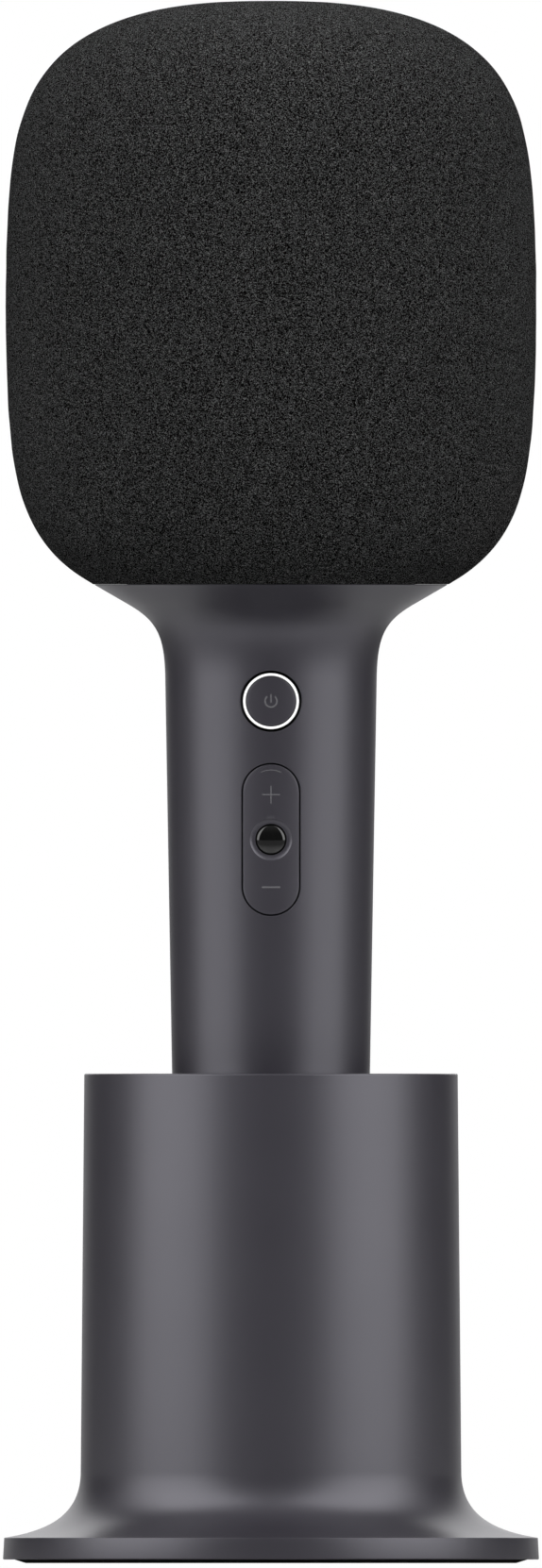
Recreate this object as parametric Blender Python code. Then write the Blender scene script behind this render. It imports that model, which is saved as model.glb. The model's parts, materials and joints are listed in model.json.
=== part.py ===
"""Karaoke microphone standing in its weighted dock, as an assembly of separate pieces.

Metres, +Z up. The centre of the dock's underside is the origin and the keys face -Y. One empty carries
the dock. A second one stands on the dock's seat and carries the microphone, which lifts out as a whole.
Heights inside the microphone are measured from that seat.
"""

import math

import bmesh
import bpy
import numpy as np
from mathutils import Vector

# Clearances
SEAT_GAP = 0.0003
SOCKET_GAP = 0.0005
KEY_GAP = 0.00025
LENS_GAP = 0.0001
SCREW_GAP = 0.00025
PRESS_GAP = 0.0001
CELL_GAP = 0.0005
CAGE_GAP = 0.0008
COIL_GAP = 0.0006

# Dock
DOCK_HEIGHT = 0.0851
DOCK_TOP_RADIUS = 0.03244
DOCK_DRAFT = 0.00897
DOCK_WALL = 0.0024
DOCK_EDGE = 0.0005
FLARE_START = 0.0160
FLARE_DROP = 0.0075
FLARE_REACH = 0.0081
FLARE_END_ANGLE = math.radians(9.0)
RIM_RADIUS = 0.04656
RIM_DRAFT = 0.0002
RIM_TOP = 0.0044
RIM_WALL = 0.00166
FOOT_DROP = 0.00062
FOOT_THICKNESS = 0.0010
FOOT_BEVEL = 0.0020
PLATE_THICKNESS = 0.0016
RIB_LENGTH = 0.0040
RIB_WALL = 0.0016
BOSS_RADIUS = 0.0030
BOSS_HEIGHT = 0.0150
BOSS_SINK = 0.0008
BASE_SCREWS = 3
BALLAST_HEIGHT = 0.0260
SOCKET_WALL = 0.0018
SOCKET_FLOOR = 0.0020
SEAT_PAD_THICKNESS = 0.0020
SEAT_HEIGHT = 0.0136

# Screws
SHANK_RADIUS = 0.00095
FLAT_HEAD_RADIUS = 0.0022
FLAT_HEAD_HEIGHT = 0.0012
FLAT_SCREW_LENGTH = 0.0100
PAN_HEAD_RADIUS = 0.0019
PAN_HEAD_HEIGHT = 0.0013

# Handle
HANDLE_END_RADIUS = 0.01596
HANDLE_TAPER = 0.01722
HANDLE_LENGTH = 0.15655
HANDLE_WALL = 0.0020
COLLAR_RADIUS = 0.0308
COLLAR_ANGLE = math.radians(30.07)
NECK_DOWN = 0.0092
NECK_OUT = 0.0072
NECK_PULL = 0.8
LEDGE_DEPTH = 0.0020
LEDGE_WIDTH = 0.0055

# End cap and charging socket
CAP_THICKNESS = 0.0020
CAP_EDGE = 0.0008
CAP_SCREW_SINK = 0.0002
PLUG_HEIGHT = 0.0050
PLUG_WALL = 0.0016
CAP_BOSS_OFFSET = 0.0090
CAP_BOSS_RADIUS = 0.0026
USB_WIDTH = 0.0090
USB_DEPTH = 0.0033
USB_WALL = 0.00035
USB_SINK = 0.0004
USB_POCKET = 0.0055
USB_TONGUE = 0.0007
USB_TONGUE_MARGIN = 0.0008

# Sled, boards and cell
SLED_WIDTH = 0.0220
SLED_WEB = 0.0015
SLED_FOOT_THICKNESS = 0.0026
SLED_FOOT_REACH = 0.0050
SLED_FOOT_CORNER = 0.0025
SLED_SCREW_DROP = 0.0078
SLED_SCREW_OFFSET = 0.0050
SLED_RIB = 0.0024
SLED_RIB_HEIGHTS = (0.0250, 0.0650)
CELL_RADIUS = 0.00915
CELL_LENGTH = 0.0650
CELL_NUB_RADIUS = 0.0030
CELL_NUB_HEIGHT = 0.0010
BOARD_THICKNESS = 0.0012
BOARD_WIDTH = 0.0200
BOARD_LENGTH = 0.0910
BOARD_CORNER = 0.0015
STANDOFF_HEIGHT = 0.0008
STANDOFF_RADIUS = 0.0016
STANDOFF_MARGIN = 0.0030
CHARGE_BOARD_WIDTH = 0.0110

# Keys and switches
POWER_DROP = 0.0203
POWER_CAP_RADIUS = 0.00425
LIGHT_RING_WIDTH = 0.00065
LIGHT_RING_FLANGE = 0.0009
LIGHT_RING_FLANGE_THICKNESS = 0.0010
POWER_DEPTH = 0.0026
POWER_TRAVEL = 0.0005
ROCKER_SPACING = 0.02405
ROCKER_LENGTH = 0.0261
ROCKER_WIDTH = 0.0097
ROCKER_TILT = math.radians(2.0)
ROCKER_PLATE = 0.0037
PIN_RADIUS = 0.0008
PIN_LENGTH = 0.0010
PIN_DEPTH = 0.0006
CHEEK_THICKNESS = 0.0012
CHEEK_WIDTH = 0.0040
CHEEK_INSET = 0.0002
EFFECT_RADIUS = 0.00248
EFFECT_DOME = 0.0005
EFFECT_FLANGE = 0.0006
EFFECT_FLANGE_THICKNESS = 0.0007
EFFECT_TRAVEL = 0.0006
DISH_RADIUS = 0.00365
DISH_DEPTH = 0.0005
SWITCH_SIZE = 0.0050
SWITCH_BODY = 0.0010
SWITCH_STEM = 0.0026
VOLUME_SWITCH_OFFSET = 0.0090
LED_WIDTH = 0.0010
LED_LENGTH = 0.0018
LED_HEIGHT = 0.0007
LED_CORNER = 0.0001
CRADLE_BASE = 0.0010
CRADLE_POST = 0.0013
CRADLE_POST_WIDTH = 0.0036
CRADLE_FRAME = 0.0014
CRADLE_CORNER = 0.0007

# Head
HEAD_RADIUS = 0.04614
HEAD_WIDEST = 0.04812
HEAD_RISE = 0.05303
HEAD_BOW = 1.362
HEAD_OVERHANG = 0.0005
CHIN_TUCK = 0.0060
CROWN_SQUARENESS = (2.51, 5.29)
CHIN_SQUARENESS = (2.32, 5.59)
FOAM_THICKNESS = 0.0040
CAGE_WALL = 0.0015
CAGE_BARS = 12
CAGE_ROWS = 6
CAGE_RING = 0.0026
CAGE_BAR_SHARE = 0.3
CAGE_CROWN = 0.0120
CAGE_SKIRT = 0.0075
FLOOR_COLLAR = 0.0026
SPIGOT_LENGTH = 0.0110
SPIGOT_WALL = 0.0020
WIRE_HOLE_RADIUS = 0.0050
TONGUE_WIDTH = 0.0160
TONGUE_THICKNESS = 0.0040
TONGUE_LENGTH = 0.0130
TONGUE_ROOT = 0.0010

# Speaker drum, its drivers and the microphone capsule
DRUM_HEIGHT = 0.0410
DRUM_LENGTH = 0.0420
DRUM_WALL = 0.0020
DRUM_MARGIN = 0.0010
CONE_RADIUS = 0.0182
CONE_WALL = 0.0005
CONE_DEPTH = 0.0072
CONE_STROKE = 0.0008
DUST_CAP_RISE = 0.0022
ROLL_RADIUS = 0.0018
ROLL_WALL = 0.0005
LIP_WIDTH = 0.0016
FLANGE_MARGIN = 0.0013
FLANGE_THICKNESS = 0.0017
BASKET_SPACE = 0.0010
BASKET_WALL = 0.0015
BASKET_BACK_RADIUS = 0.0120
BASKET_DEPTH = 0.0126
MAGNET_RADIUS = 0.0135
MAGNET_LENGTH = 0.0070
MAGNET_BACK = 0.0020
COIL_RADIUS = 0.0062
COIL_WALL = 0.0006
BRACKET_WIDTH = 0.0200
BRACKET_FOOT = 0.0360
BRACKET_HOLD = math.radians(40.0)
STAND_WIDTH = 0.0140
STAND_HOLD = math.radians(20.0)
HOLDER_WALL = 0.0016
HOLDER_FLOOR = 0.0030
HOLDER_HEIGHT = 0.0117
CAPSULE_RADIUS = 0.0069
CAPSULE_HEIGHT = 0.0114
CAPSULE_EDGE = 0.0010
CAPSULE_HEADROOM = 0.0035

# Facets
LARGE = 32
MEDIUM = 16
SMALL = 10
FLARE_STEPS = 6
CROWN_STEPS = 8
CHIN_STEPS = 5
CURVE_CROWDING = 1.6
FINER = 4
SHARP_ANGLE = math.radians(35.0)
WELD = 1e-7

# Ways to turn a piece: local Z towards the front, the back, the right or the left, and a side profile
FRONT = (math.pi / 2, 0.0, 0.0)
BACK = (-math.pi / 2, 0.0, 0.0)
RIGHT = (0.0, math.pi / 2, 0.0)
LEFT = (0.0, -math.pi / 2, 0.0)
PROFILE = (math.pi / 2, 0.0, math.pi / 2)


def handle_radius(height):
    """Outer radius of the straight part of the handle at a height above the seat."""
    return HANDLE_END_RADIUS + HANDLE_TAPER * height


# Heights and depths that several pieces share
FOOT_GROOVE_RADIUS = RIM_RADIUS - RIM_WALL
PLATE_BOTTOM = FOOT_THICKNESS + SEAT_GAP
PLATE_TOP = PLATE_BOTTOM + PLATE_THICKNESS
DOCK_LEDGE = PLATE_TOP + SEAT_GAP
SOCKET_TOP = DOCK_HEIGHT - DOCK_WALL - SEAT_GAP
PLUG_TOP = CAP_THICKNESS + PLUG_HEIGHT
CHARGE_BOARD_BOTTOM = PLUG_TOP + SEAT_GAP
CHARGE_BOARD_LENGTH = 2 * (CAP_BOSS_OFFSET + CAP_BOSS_RADIUS)
SLED_BOTTOM = CHARGE_BOARD_BOTTOM + BOARD_THICKNESS + SEAT_GAP
CELL_BOTTOM = SLED_BOTTOM + SLED_FOOT_THICKNESS + SEAT_GAP
HEAD_BASE = HANDLE_LENGTH + SEAT_GAP
FLOOR_BOTTOM = HANDLE_LENGTH - LEDGE_DEPTH + SEAT_GAP
FLOOR_TOP = HEAD_BASE + FLOOR_COLLAR
SPIGOT_BOTTOM = FLOOR_BOTTOM - SPIGOT_LENGTH
BOARD_TOP = SPIGOT_BOTTOM - SEAT_GAP
POWER_HEIGHT = HANDLE_LENGTH - POWER_DROP
ROCKER_HEIGHT = POWER_HEIGHT - ROCKER_SPACING
DRUM_AXIS = HEAD_BASE + DRUM_HEIGHT
CELL_Y = handle_radius(CELL_BOTTOM) - HANDLE_WALL - CELL_GAP - CELL_RADIUS
WEB_BACK = CELL_Y - CELL_RADIUS - SEAT_GAP
WEB_FRONT = WEB_BACK - SLED_WEB
BOARD_BACK = WEB_FRONT - STANDOFF_HEIGHT - SEAT_GAP
BOARD_FACE = BOARD_BACK - BOARD_THICKNESS - SEAT_GAP
POWER_BACK = -handle_radius(POWER_HEIGHT) + HANDLE_WALL + POWER_DEPTH
ROCKER_BACK = -handle_radius(ROCKER_HEIGHT) + ROCKER_PLATE
ROCKER_AXIS_Y = ROCKER_BACK + PIN_DEPTH
EFFECT_BACK = ROCKER_BACK + SEAT_GAP + EFFECT_FLANGE_THICKNESS

# Radii of the driver, worked out from its cone
SURROUND_INSIDE = CONE_RADIUS + SEAT_GAP
BASKET_INSIDE = SURROUND_INSIDE + BASKET_SPACE
BASKET_RADIUS = BASKET_INSIDE + BASKET_WALL
LIP_RADIUS = SURROUND_INSIDE + 2 * ROLL_RADIUS + LIP_WIDTH
DRIVER_RADIUS = LIP_RADIUS + FLANGE_MARGIN
DRUM_RADIUS = DRIVER_RADIUS + DRUM_MARGIN
DRUM_SEAT = DRUM_RADIUS + SEAT_GAP


def clear_scene():
    """Removes what the startup scene holds."""
    for found in list(bpy.data.objects):
        bpy.data.objects.remove(found, do_unlink=True)


def finish(name, colour, roughness, metallic=0.0):
    """A Principled material with one colour."""
    made = bpy.data.materials.new(name)
    made.use_nodes = True
    shader = made.node_tree.nodes["Principled BSDF"]
    shader.inputs["Base Color"].default_value = (*colour, 1.0)
    shader.inputs["Roughness"].default_value = roughness
    shader.inputs["Metallic"].default_value = metallic
    made.diffuse_color = (*colour, 1.0)
    return made


def make_finishes():
    """Every finish on the object, by a plain name."""
    return {
        "satin": finish("satin_grey", (0.055, 0.054, 0.060), 0.42),
        "foam": finish("black_foam", (0.020, 0.020, 0.020), 0.95),
        "gloss": finish("gloss_black", (0.006, 0.006, 0.007), 0.10),
        "light": finish("light_guide", (0.95, 0.95, 0.95), 0.35),
        "rubber": finish("dark_rubber", (0.045, 0.045, 0.048), 0.85),
        "matte": finish("matte_black", (0.025, 0.025, 0.027), 0.65),
        "steel": finish("zinc_steel", (0.55, 0.55, 0.57), 0.38, 1.0),
        "board": finish("black_board", (0.012, 0.013, 0.014), 0.50),
        "cell": finish("cell_wrap", (0.020, 0.120, 0.260), 0.40),
        "cone": finish("paper_cone", (0.030, 0.030, 0.032), 0.80),
        "brass": finish("brass_capsule", (0.70, 0.52, 0.22), 0.35, 1.0),
    }


def empty(name, location=(0.0, 0.0, 0.0)):
    """An empty that carries other objects."""
    made = bpy.data.objects.new(name, None)
    bpy.context.scene.collection.objects.link(made)
    made.location = location
    return made


def solid(name, shape, parent, look=None, location=(0.0, 0.0, 0.0), rotation=(0.0, 0.0, 0.0)):
    """Links a bmesh as an object. With no look it is a helper that only cuts or joins."""
    bmesh.ops.recalc_face_normals(shape, faces=shape.faces)
    mesh = bpy.data.meshes.new(name)
    shape.to_mesh(mesh)
    shape.free()
    mesh.shade_smooth()
    mesh.set_sharp_from_angle(angle=SHARP_ANGLE)
    made = bpy.data.objects.new(name, mesh)
    bpy.context.scene.collection.objects.link(made)
    made.parent = parent
    made.location = location
    made.rotation_euler = rotation
    if look is None:
        made.hide_render = True
        made.display_type = "WIRE"
    else:
        mesh.materials.append(look)
    return made


def combine(target, helper, operation):
    """Adds an exact Boolean of the helper to the target."""
    boolean = target.modifiers.new(f"{operation.lower()} {helper.name}", "BOOLEAN")
    boolean.operation = operation
    boolean.solver = "EXACT"
    boolean.object = helper


def turned(outline, segments):
    """Spins an outline of (radius, height) points round Z. One that ends on the axis stays open there."""
    shape = bmesh.new()
    ring = [shape.verts.new((radius, 0.0, height)) for radius, height in outline]
    pairs = list(zip(ring, ring[1:]))
    if outline[0][0] > WELD or outline[-1][0] > WELD:
        pairs.append((ring[-1], ring[0]))
    edges = [shape.edges.new(pair) for pair in pairs]
    about = {"cent": (0, 0, 0), "axis": (0, 0, 1), "angle": math.tau}
    bmesh.ops.spin(shape, geom=ring + edges, steps=segments, use_merge=True, **about)
    bmesh.ops.remove_doubles(shape, verts=shape.verts, dist=WELD)
    return shape


def raised(outline, depth, start=0.0):
    """Extrudes a flat outline of (x, y) points along Z by a depth."""
    shape = bmesh.new()
    face = shape.faces.new([shape.verts.new((x, y, start)) for x, y in outline])
    made = bmesh.ops.extrude_face_region(shape, geom=[face])
    top = [item for item in made["geom"] if isinstance(item, bmesh.types.BMVert)]
    bmesh.ops.translate(shape, vec=(0.0, 0.0, depth), verts=top)
    return shape


def block(low, high):
    """A box between two corners."""
    low, high = Vector(low), Vector(high)
    floor = [(low.x, low.y), (high.x, low.y), (high.x, high.y), (low.x, high.y)]
    return raised(floor, high.z - low.z, low.z)


def posts(places, radius, depth, segments=SMALL):
    """Equal cylinders that stand at (x, y) places, from 0 to depth, in one bmesh."""
    shape = bmesh.new()
    for x, y in places:
        size = {"segments": segments, "radius1": radius, "radius2": radius, "depth": depth}
        made = bmesh.ops.create_cone(shape, cap_ends=True, **size)
        bmesh.ops.translate(shape, vec=(x, y, depth / 2), verts=made["verts"])
    return shape


def screw(head_radius, head_height, length, countersunk, grow=0.0):
    """A screw that points up, with the underside of its head at 0. The tool for its hole grows all round."""
    shank = SHANK_RADIUS + grow
    head = head_radius + grow
    bottom = -head_height - 4 * grow
    tip = length + 2 * grow
    outline = [(0.0, bottom), (head, bottom), (head, -head_height if countersunk else grow)]
    return turned(outline + [(shank, grow), (shank, tip), (0.0, tip)], SMALL)


def arc(centre, radius, start, end, steps):
    """Points on an arc, both ends included."""
    angles = np.linspace(start, end, steps + 1)
    return [(centre[0] + radius * math.cos(a), centre[1] + radius * math.sin(a)) for a in angles]


def bezier(start, pull_start, pull_end, end, steps):
    """Points on a cubic curve, both ends included."""
    along = np.linspace(0.0, 1.0, steps + 1)[:, None]
    weights = ((1 - along) ** 3, 3 * (1 - along) ** 2 * along, 3 * (1 - along) * along**2, along**3)
    corners = (start, pull_start, pull_end, end)
    points = sum(weight * np.array(corner) for weight, corner in zip(weights, corners))
    return [tuple(point) for point in points]


def stadium(length, width, steps=6):
    """A slot's outline, long way along X and centred."""
    straight = (length - width) / 2
    right = arc((straight, 0.0), width / 2, -math.pi / 2, math.pi / 2, steps)
    return right + [(-x, -y) for x, y in right]


def upright(outline):
    """A flat outline turned by a quarter."""
    return [(-y, x) for x, y in outline]


def rectangle(width, height, corner):
    """A rectangle with its corners cut off, centred."""
    x, y = width / 2, height / 2
    right = [(x - corner, -y), (x, corner - y), (x, y - corner), (x - corner, y)]
    return right + [(-a, -b) for a, b in right]


def inward(points, distance):
    """An open line of (radius, height) points that runs up, moved towards the axis by a wall."""
    line = np.array(points)
    run = np.gradient(line, axis=0)
    run /= np.linalg.norm(run, axis=1)[:, None]
    moved = line + distance * np.column_stack([-run[:, 1], run[:, 0]])
    return [tuple(point) for point in moved]


def resampled(points, stations):
    """Points at the given lengths along an open line."""
    line = np.array(points)
    length = np.concatenate([[0.0], np.cumsum(np.linalg.norm(np.diff(line, axis=0), axis=1))])
    return [(np.interp(s, length, line[:, 0]), np.interp(s, length, line[:, 1])) for s in stations]


def line_length(points):
    """Length of an open line."""
    return float(np.linalg.norm(np.diff(np.array(points), axis=0), axis=1).sum())


def dock_radius(height):
    """Outer radius of the dock's wall above its flare."""
    return DOCK_TOP_RADIUS + DOCK_DRAFT * (DOCK_HEIGHT - height)


def socket_radius(height):
    """Radius of the dock's socket at a height above the table: the handle's taper and the gap round it."""
    return handle_radius(height - SEAT_HEIGHT) + SOCKET_GAP


def dock_flare():
    """The dock's foot, from the rim's upper edge in and up to the end of the straight wall."""
    edge = (RIM_RADIUS - RIM_DRAFT, RIM_TOP)
    top = (dock_radius(FLARE_START), FLARE_START)
    reach = (FLARE_REACH * math.cos(FLARE_END_ANGLE), FLARE_REACH * math.sin(FLARE_END_ANGLE))
    pull_edge = (edge[0] - reach[0], edge[1] + reach[1])
    return bezier(edge, pull_edge, (top[0], top[1] - FLARE_DROP), top, FLARE_STEPS)


def boss_reach():
    """How far from the axis the dock's screw bosses stand: sunk a little into its wall."""
    return dock_radius(FLARE_START) - DOCK_WALL - BOSS_RADIUS + BOSS_SINK


def boss_places():
    """Where the dock's screws go, evenly round the axis with one at the back."""
    angles = [math.pi / 2 + math.tau * count / BASE_SCREWS for count in range(BASE_SCREWS)]
    return [(boss_reach() * math.cos(a), boss_reach() * math.sin(a)) for a in angles]


def make_base_shell(dock, looks):
    """The dock's moulded shell, with the rib that centres the socket and the bosses for the screws."""
    flare = dock_flare()
    lining = [point for point in inward(flare, DOCK_WALL) if point[1] > DOCK_LEDGE]
    hole = socket_radius(DOCK_HEIGHT)
    roof = DOCK_HEIGHT - DOCK_WALL
    rib_inside = socket_radius(SOCKET_TOP) + SOCKET_WALL + SEAT_GAP
    rib_outside = rib_inside + RIB_WALL
    outside = [
        (hole, roof),
        (hole, DOCK_HEIGHT - DOCK_EDGE),
        (hole + DOCK_EDGE, DOCK_HEIGHT),
        (DOCK_TOP_RADIUS - DOCK_EDGE, DOCK_HEIGHT),
        (dock_radius(DOCK_HEIGHT - DOCK_EDGE), DOCK_HEIGHT - DOCK_EDGE),
        *reversed(flare),
        (RIM_RADIUS, FOOT_DROP),
    ]
    inside = [
        (FOOT_GROOVE_RADIUS, FOOT_DROP),
        (FOOT_GROOVE_RADIUS, DOCK_LEDGE),
        (lining[0][0], DOCK_LEDGE),
        *lining,
        (dock_radius(roof) - DOCK_WALL, roof),
        (rib_outside, roof),
        (rib_outside, roof - RIB_LENGTH),
        (rib_inside, roof - RIB_LENGTH),
        (rib_inside, roof),
    ]
    shell = solid("base_shell", turned(outside + inside, LARGE), dock, looks["satin"])
    bosses = posts(boss_places(), BOSS_RADIUS, BOSS_HEIGHT)
    combine(shell, solid("boss_tool", bosses, dock, location=(0, 0, DOCK_LEDGE)), "UNION")
    return shell


def make_base_socket(dock, looks):
    """The tapered cup that holds the handle. It stands on the base plate and ends under the dock's top."""
    floor_top = SEAT_HEIGHT - SEAT_PAD_THICKNESS - 2 * SEAT_GAP
    floor_bottom = floor_top - SOCKET_FLOOR
    outline = [
        (0, floor_bottom),
        (socket_radius(floor_bottom), floor_bottom),
        (socket_radius(DOCK_LEDGE), DOCK_LEDGE),
        (socket_radius(DOCK_LEDGE) + SOCKET_WALL, DOCK_LEDGE),
        (socket_radius(SOCKET_TOP) + SOCKET_WALL, SOCKET_TOP),
        (socket_radius(SOCKET_TOP), SOCKET_TOP),
        (socket_radius(floor_top), floor_top),
        (0, floor_top),
    ]
    solid("base_socket", turned(outline, LARGE), dock, looks["matte"])
    pad_bottom = floor_top + SEAT_GAP
    pad_top = pad_bottom + SEAT_PAD_THICKNESS
    radius = socket_radius(pad_bottom) - SEAT_GAP
    pad = [(0, pad_bottom), (radius, pad_bottom), (radius, pad_top), (0, pad_top)]
    solid("seat_pad", turned(pad, LARGE), dock, looks["rubber"])


def make_ballast(dock, looks):
    """The steel ring that keeps the dock standing, between the socket and the bosses."""
    bottom = DOCK_LEDGE
    top = bottom + BALLAST_HEIGHT
    inside = socket_radius(top) + SOCKET_WALL + SEAT_GAP
    outside = boss_reach() - BOSS_RADIUS - SEAT_GAP
    outline = [(inside, bottom), (outside, bottom), (outside, top), (inside, top)]
    solid("ballast_ring", turned(outline, LARGE), dock, looks["steel"])


def make_base_plate(dock, looks, shell):
    """The plate that closes the dock, its countersunk screws and the soft foot that hides them."""
    radius = FOOT_GROOVE_RADIUS - SEAT_GAP
    outline = [(0, PLATE_BOTTOM), (radius, PLATE_BOTTOM), (radius, PLATE_TOP), (0, PLATE_TOP)]
    plate = solid("base_plate", turned(outline, LARGE), dock, looks["steel"])
    size = (FLAT_HEAD_RADIUS, FLAT_HEAD_HEIGHT, FLAT_SCREW_LENGTH, True)
    for count, (x, y) in enumerate(boss_places(), start=1):
        place = (x, y, PLATE_BOTTOM + FLAT_HEAD_HEIGHT + SCREW_GAP)
        solid(f"base_screw_{count}", screw(*size), dock, looks["steel"], place)
        hole = solid(f"base_screw_tool_{count}", screw(*size, grow=SCREW_GAP), dock, location=place)
        combine(plate, hole, "DIFFERENCE")
        combine(shell, hole, "DIFFERENCE")
    foot = [
        (0, 0),
        (radius - FOOT_BEVEL, 0),
        (radius, FOOT_DROP),
        (radius, FOOT_THICKNESS),
        (0, FOOT_THICKNESS),
    ]
    solid("foot_pad", turned(foot, LARGE), dock, looks["rubber"])


def handle_outside():
    """The handle's outer line, from its lower end up through the neck and out to the collar's edge."""
    slope = math.tan(COLLAR_ANGLE)
    lower = CAP_THICKNESS + SEAT_GAP
    corner_height = HANDLE_LENGTH - (COLLAR_RADIUS - HANDLE_END_RADIUS) * slope
    corner_height /= 1 - HANDLE_TAPER * slope
    corner = np.array([handle_radius(corner_height), corner_height])
    start = np.array([handle_radius(corner_height - NECK_DOWN), corner_height - NECK_DOWN])
    end = corner + NECK_OUT * np.array([math.cos(COLLAR_ANGLE), math.sin(COLLAR_ANGLE)])
    pulls = [point + NECK_PULL * (corner - point) for point in (start, end)]
    neck = bezier(start, *pulls, end, FLARE_STEPS)
    return [(handle_radius(lower), lower), *neck, (COLLAR_RADIUS, HANDLE_LENGTH)]


def make_handle_shell(mic, looks):
    """The handle: a tapered tube that flares into the collar, with a round hole and a slot for the keys."""
    outside = handle_outside()
    ledge = HANDLE_LENGTH - LEDGE_DEPTH
    lining = inward(outside, HANDLE_WALL)
    edge = np.interp(ledge, [height for _, height in lining], [radius for radius, _ in lining])
    lining = [point for point in lining[1:] if point[1] < ledge]
    lower = outside[0]
    inside = [
        (COLLAR_RADIUS - LEDGE_WIDTH, HANDLE_LENGTH),
        (COLLAR_RADIUS - LEDGE_WIDTH, ledge),
        (edge, ledge),
        *reversed(lining),
        (lower[0] - HANDLE_WALL, lower[1]),
    ]
    shell = solid("handle_shell", turned(outside + inside, LARGE), mic, looks["satin"])
    reach = 2 * HANDLE_END_RADIUS
    ring = POWER_CAP_RADIUS + LENS_GAP + LIGHT_RING_WIDTH + KEY_GAP
    hole = solid("power_tool", posts([(0, 0)], ring, reach, LARGE), mic, None, (0, 0, POWER_HEIGHT), FRONT)
    combine(shell, hole, "DIFFERENCE")
    outline = upright(stadium(ROCKER_LENGTH + 2 * KEY_GAP, ROCKER_WIDTH + 2 * KEY_GAP))
    slot = solid("rocker_tool", raised(outline, reach), mic, None, (0, 0, ROCKER_HEIGHT), FRONT)
    combine(shell, slot, "DIFFERENCE")


def make_end_cap(mic, looks, sled):
    """The plug in the handle's lower end, its two screws, and the charging socket on its small board."""
    rim = handle_radius(0)
    plug = handle_radius(0) - HANDLE_WALL - SEAT_GAP
    outline = [
        (0, 0),
        (rim - CAP_EDGE, 0),
        (rim, CAP_EDGE),
        (handle_radius(CAP_THICKNESS), CAP_THICKNESS),
        (plug, CAP_THICKNESS),
        (plug, PLUG_TOP),
        (plug - PLUG_WALL, PLUG_TOP),
        (plug - PLUG_WALL, CAP_THICKNESS),
        (0, CAP_THICKNESS),
    ]
    cap = solid("end_cap", turned(outline, LARGE), mic, looks["satin"])
    places = [(-CAP_BOSS_OFFSET, 0.0), (CAP_BOSS_OFFSET, 0.0)]
    root = CAP_THICKNESS / 2
    bosses = posts(places, CAP_BOSS_RADIUS, PLUG_TOP - root)
    combine(cap, solid("cap_boss_tool", bosses, mic, location=(0, 0, root)), "UNION")
    seat = CAP_SCREW_SINK + PAN_HEAD_HEIGHT
    tip = SLED_BOTTOM + SLED_FOOT_THICKNESS - SEAT_GAP
    slot = stadium(USB_WIDTH + 2 * SEAT_GAP, USB_DEPTH + 2 * SEAT_GAP)
    mouth = solid("usb_tool", raised(slot, 2 * PLUG_TOP, -PLUG_TOP), mic)
    combine(cap, mouth, "DIFFERENCE")
    outline = stadium(CHARGE_BOARD_LENGTH, CHARGE_BOARD_WIDTH)
    board = solid("charge_board", raised(outline, BOARD_THICKNESS, CHARGE_BOARD_BOTTOM), mic, looks["board"])
    size = (PAN_HEAD_RADIUS, PAN_HEAD_HEIGHT, tip - seat, False)
    for count, (x, y) in enumerate(places, start=1):
        solid(f"end_cap_screw_{count}", screw(*size), mic, looks["steel"], (x, y, seat))
        hole = solid(f"cap_screw_tool_{count}", screw(*size, grow=SCREW_GAP), mic, location=(x, y, seat))
        for piece in (cap, board, sled):
            combine(piece, hole, "DIFFERENCE")
    sleeve = raised(stadium(USB_WIDTH, USB_DEPTH), PLUG_TOP - USB_SINK, USB_SINK)
    port = solid("usb_port", sleeve, mic, looks["steel"])
    inner = stadium(USB_WIDTH - 2 * USB_WALL, USB_DEPTH - 2 * USB_WALL)
    pocket = solid("usb_pocket_tool", raised(inner, 2 * USB_POCKET, USB_SINK - USB_POCKET), mic)
    combine(port, pocket, "DIFFERENCE")
    half = USB_WIDTH / 2 - USB_WALL - USB_TONGUE_MARGIN
    low = (-half, -USB_TONGUE / 2, USB_SINK + USB_TONGUE_MARGIN)
    high = (half, USB_TONGUE / 2, USB_SINK + USB_POCKET + USB_WALL)
    combine(port, solid("usb_tongue_tool", block(low, high), mic), "UNION")


def make_sled(mic, looks):
    """The inner frame: a web between board and cell, a foot for the end cap's screws, ribs round the cell."""
    top = FLOOR_BOTTOM - SEAT_GAP
    web = block((-SLED_WIDTH / 2, WEB_FRONT, SLED_BOTTOM), (SLED_WIDTH / 2, WEB_BACK, top))
    sled = solid("sled", web, mic, looks["matte"])
    middle = (WEB_FRONT + WEB_BACK) / 2
    foot = rectangle(CHARGE_BOARD_LENGTH, SLED_FOOT_REACH - middle, SLED_FOOT_CORNER)
    foot_place = (0, (middle + SLED_FOOT_REACH) / 2, SLED_BOTTOM)
    combine(sled, solid("sled_foot_tool", raised(foot, SLED_FOOT_THICKNESS), mic, None, foot_place), "UNION")
    for count, height in enumerate(SLED_RIB_HEIGHTS, start=1):
        reach = handle_radius(height) - HANDLE_WALL - CELL_GAP
        below = height - SLED_RIB
        disc = posts([(0, 0)], reach, SLED_RIB, LARGE)
        rib = solid(f"rib_tool_{count}", disc, mic, location=(0, 0, height))
        cell = posts([(0, CELL_Y)], CELL_RADIUS + CELL_GAP, 3 * SLED_RIB, LARGE)
        combine(rib, solid(f"rib_cell_tool_{count}", cell, mic, location=(0, 0, below)), "DIFFERENCE")
        keep = block((-reach, middle, below), (reach, CELL_Y, height + 2 * SLED_RIB))
        combine(rib, solid(f"rib_keep_tool_{count}", keep, mic), "INTERSECT")
        combine(sled, rib, "UNION")
    x = BOARD_WIDTH / 2 - STANDOFF_MARGIN
    ends = (BOARD_TOP - STANDOFF_MARGIN, BOARD_TOP - BOARD_LENGTH + STANDOFF_MARGIN)
    places = [(side * x, end) for side in (-1, 1) for end in ends]
    standoffs = posts(places, STANDOFF_RADIUS, middle - WEB_FRONT + STANDOFF_HEIGHT)
    combine(sled, solid("standoff_tool", standoffs, mic, None, (0, middle, 0), FRONT), "UNION")
    return sled


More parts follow.
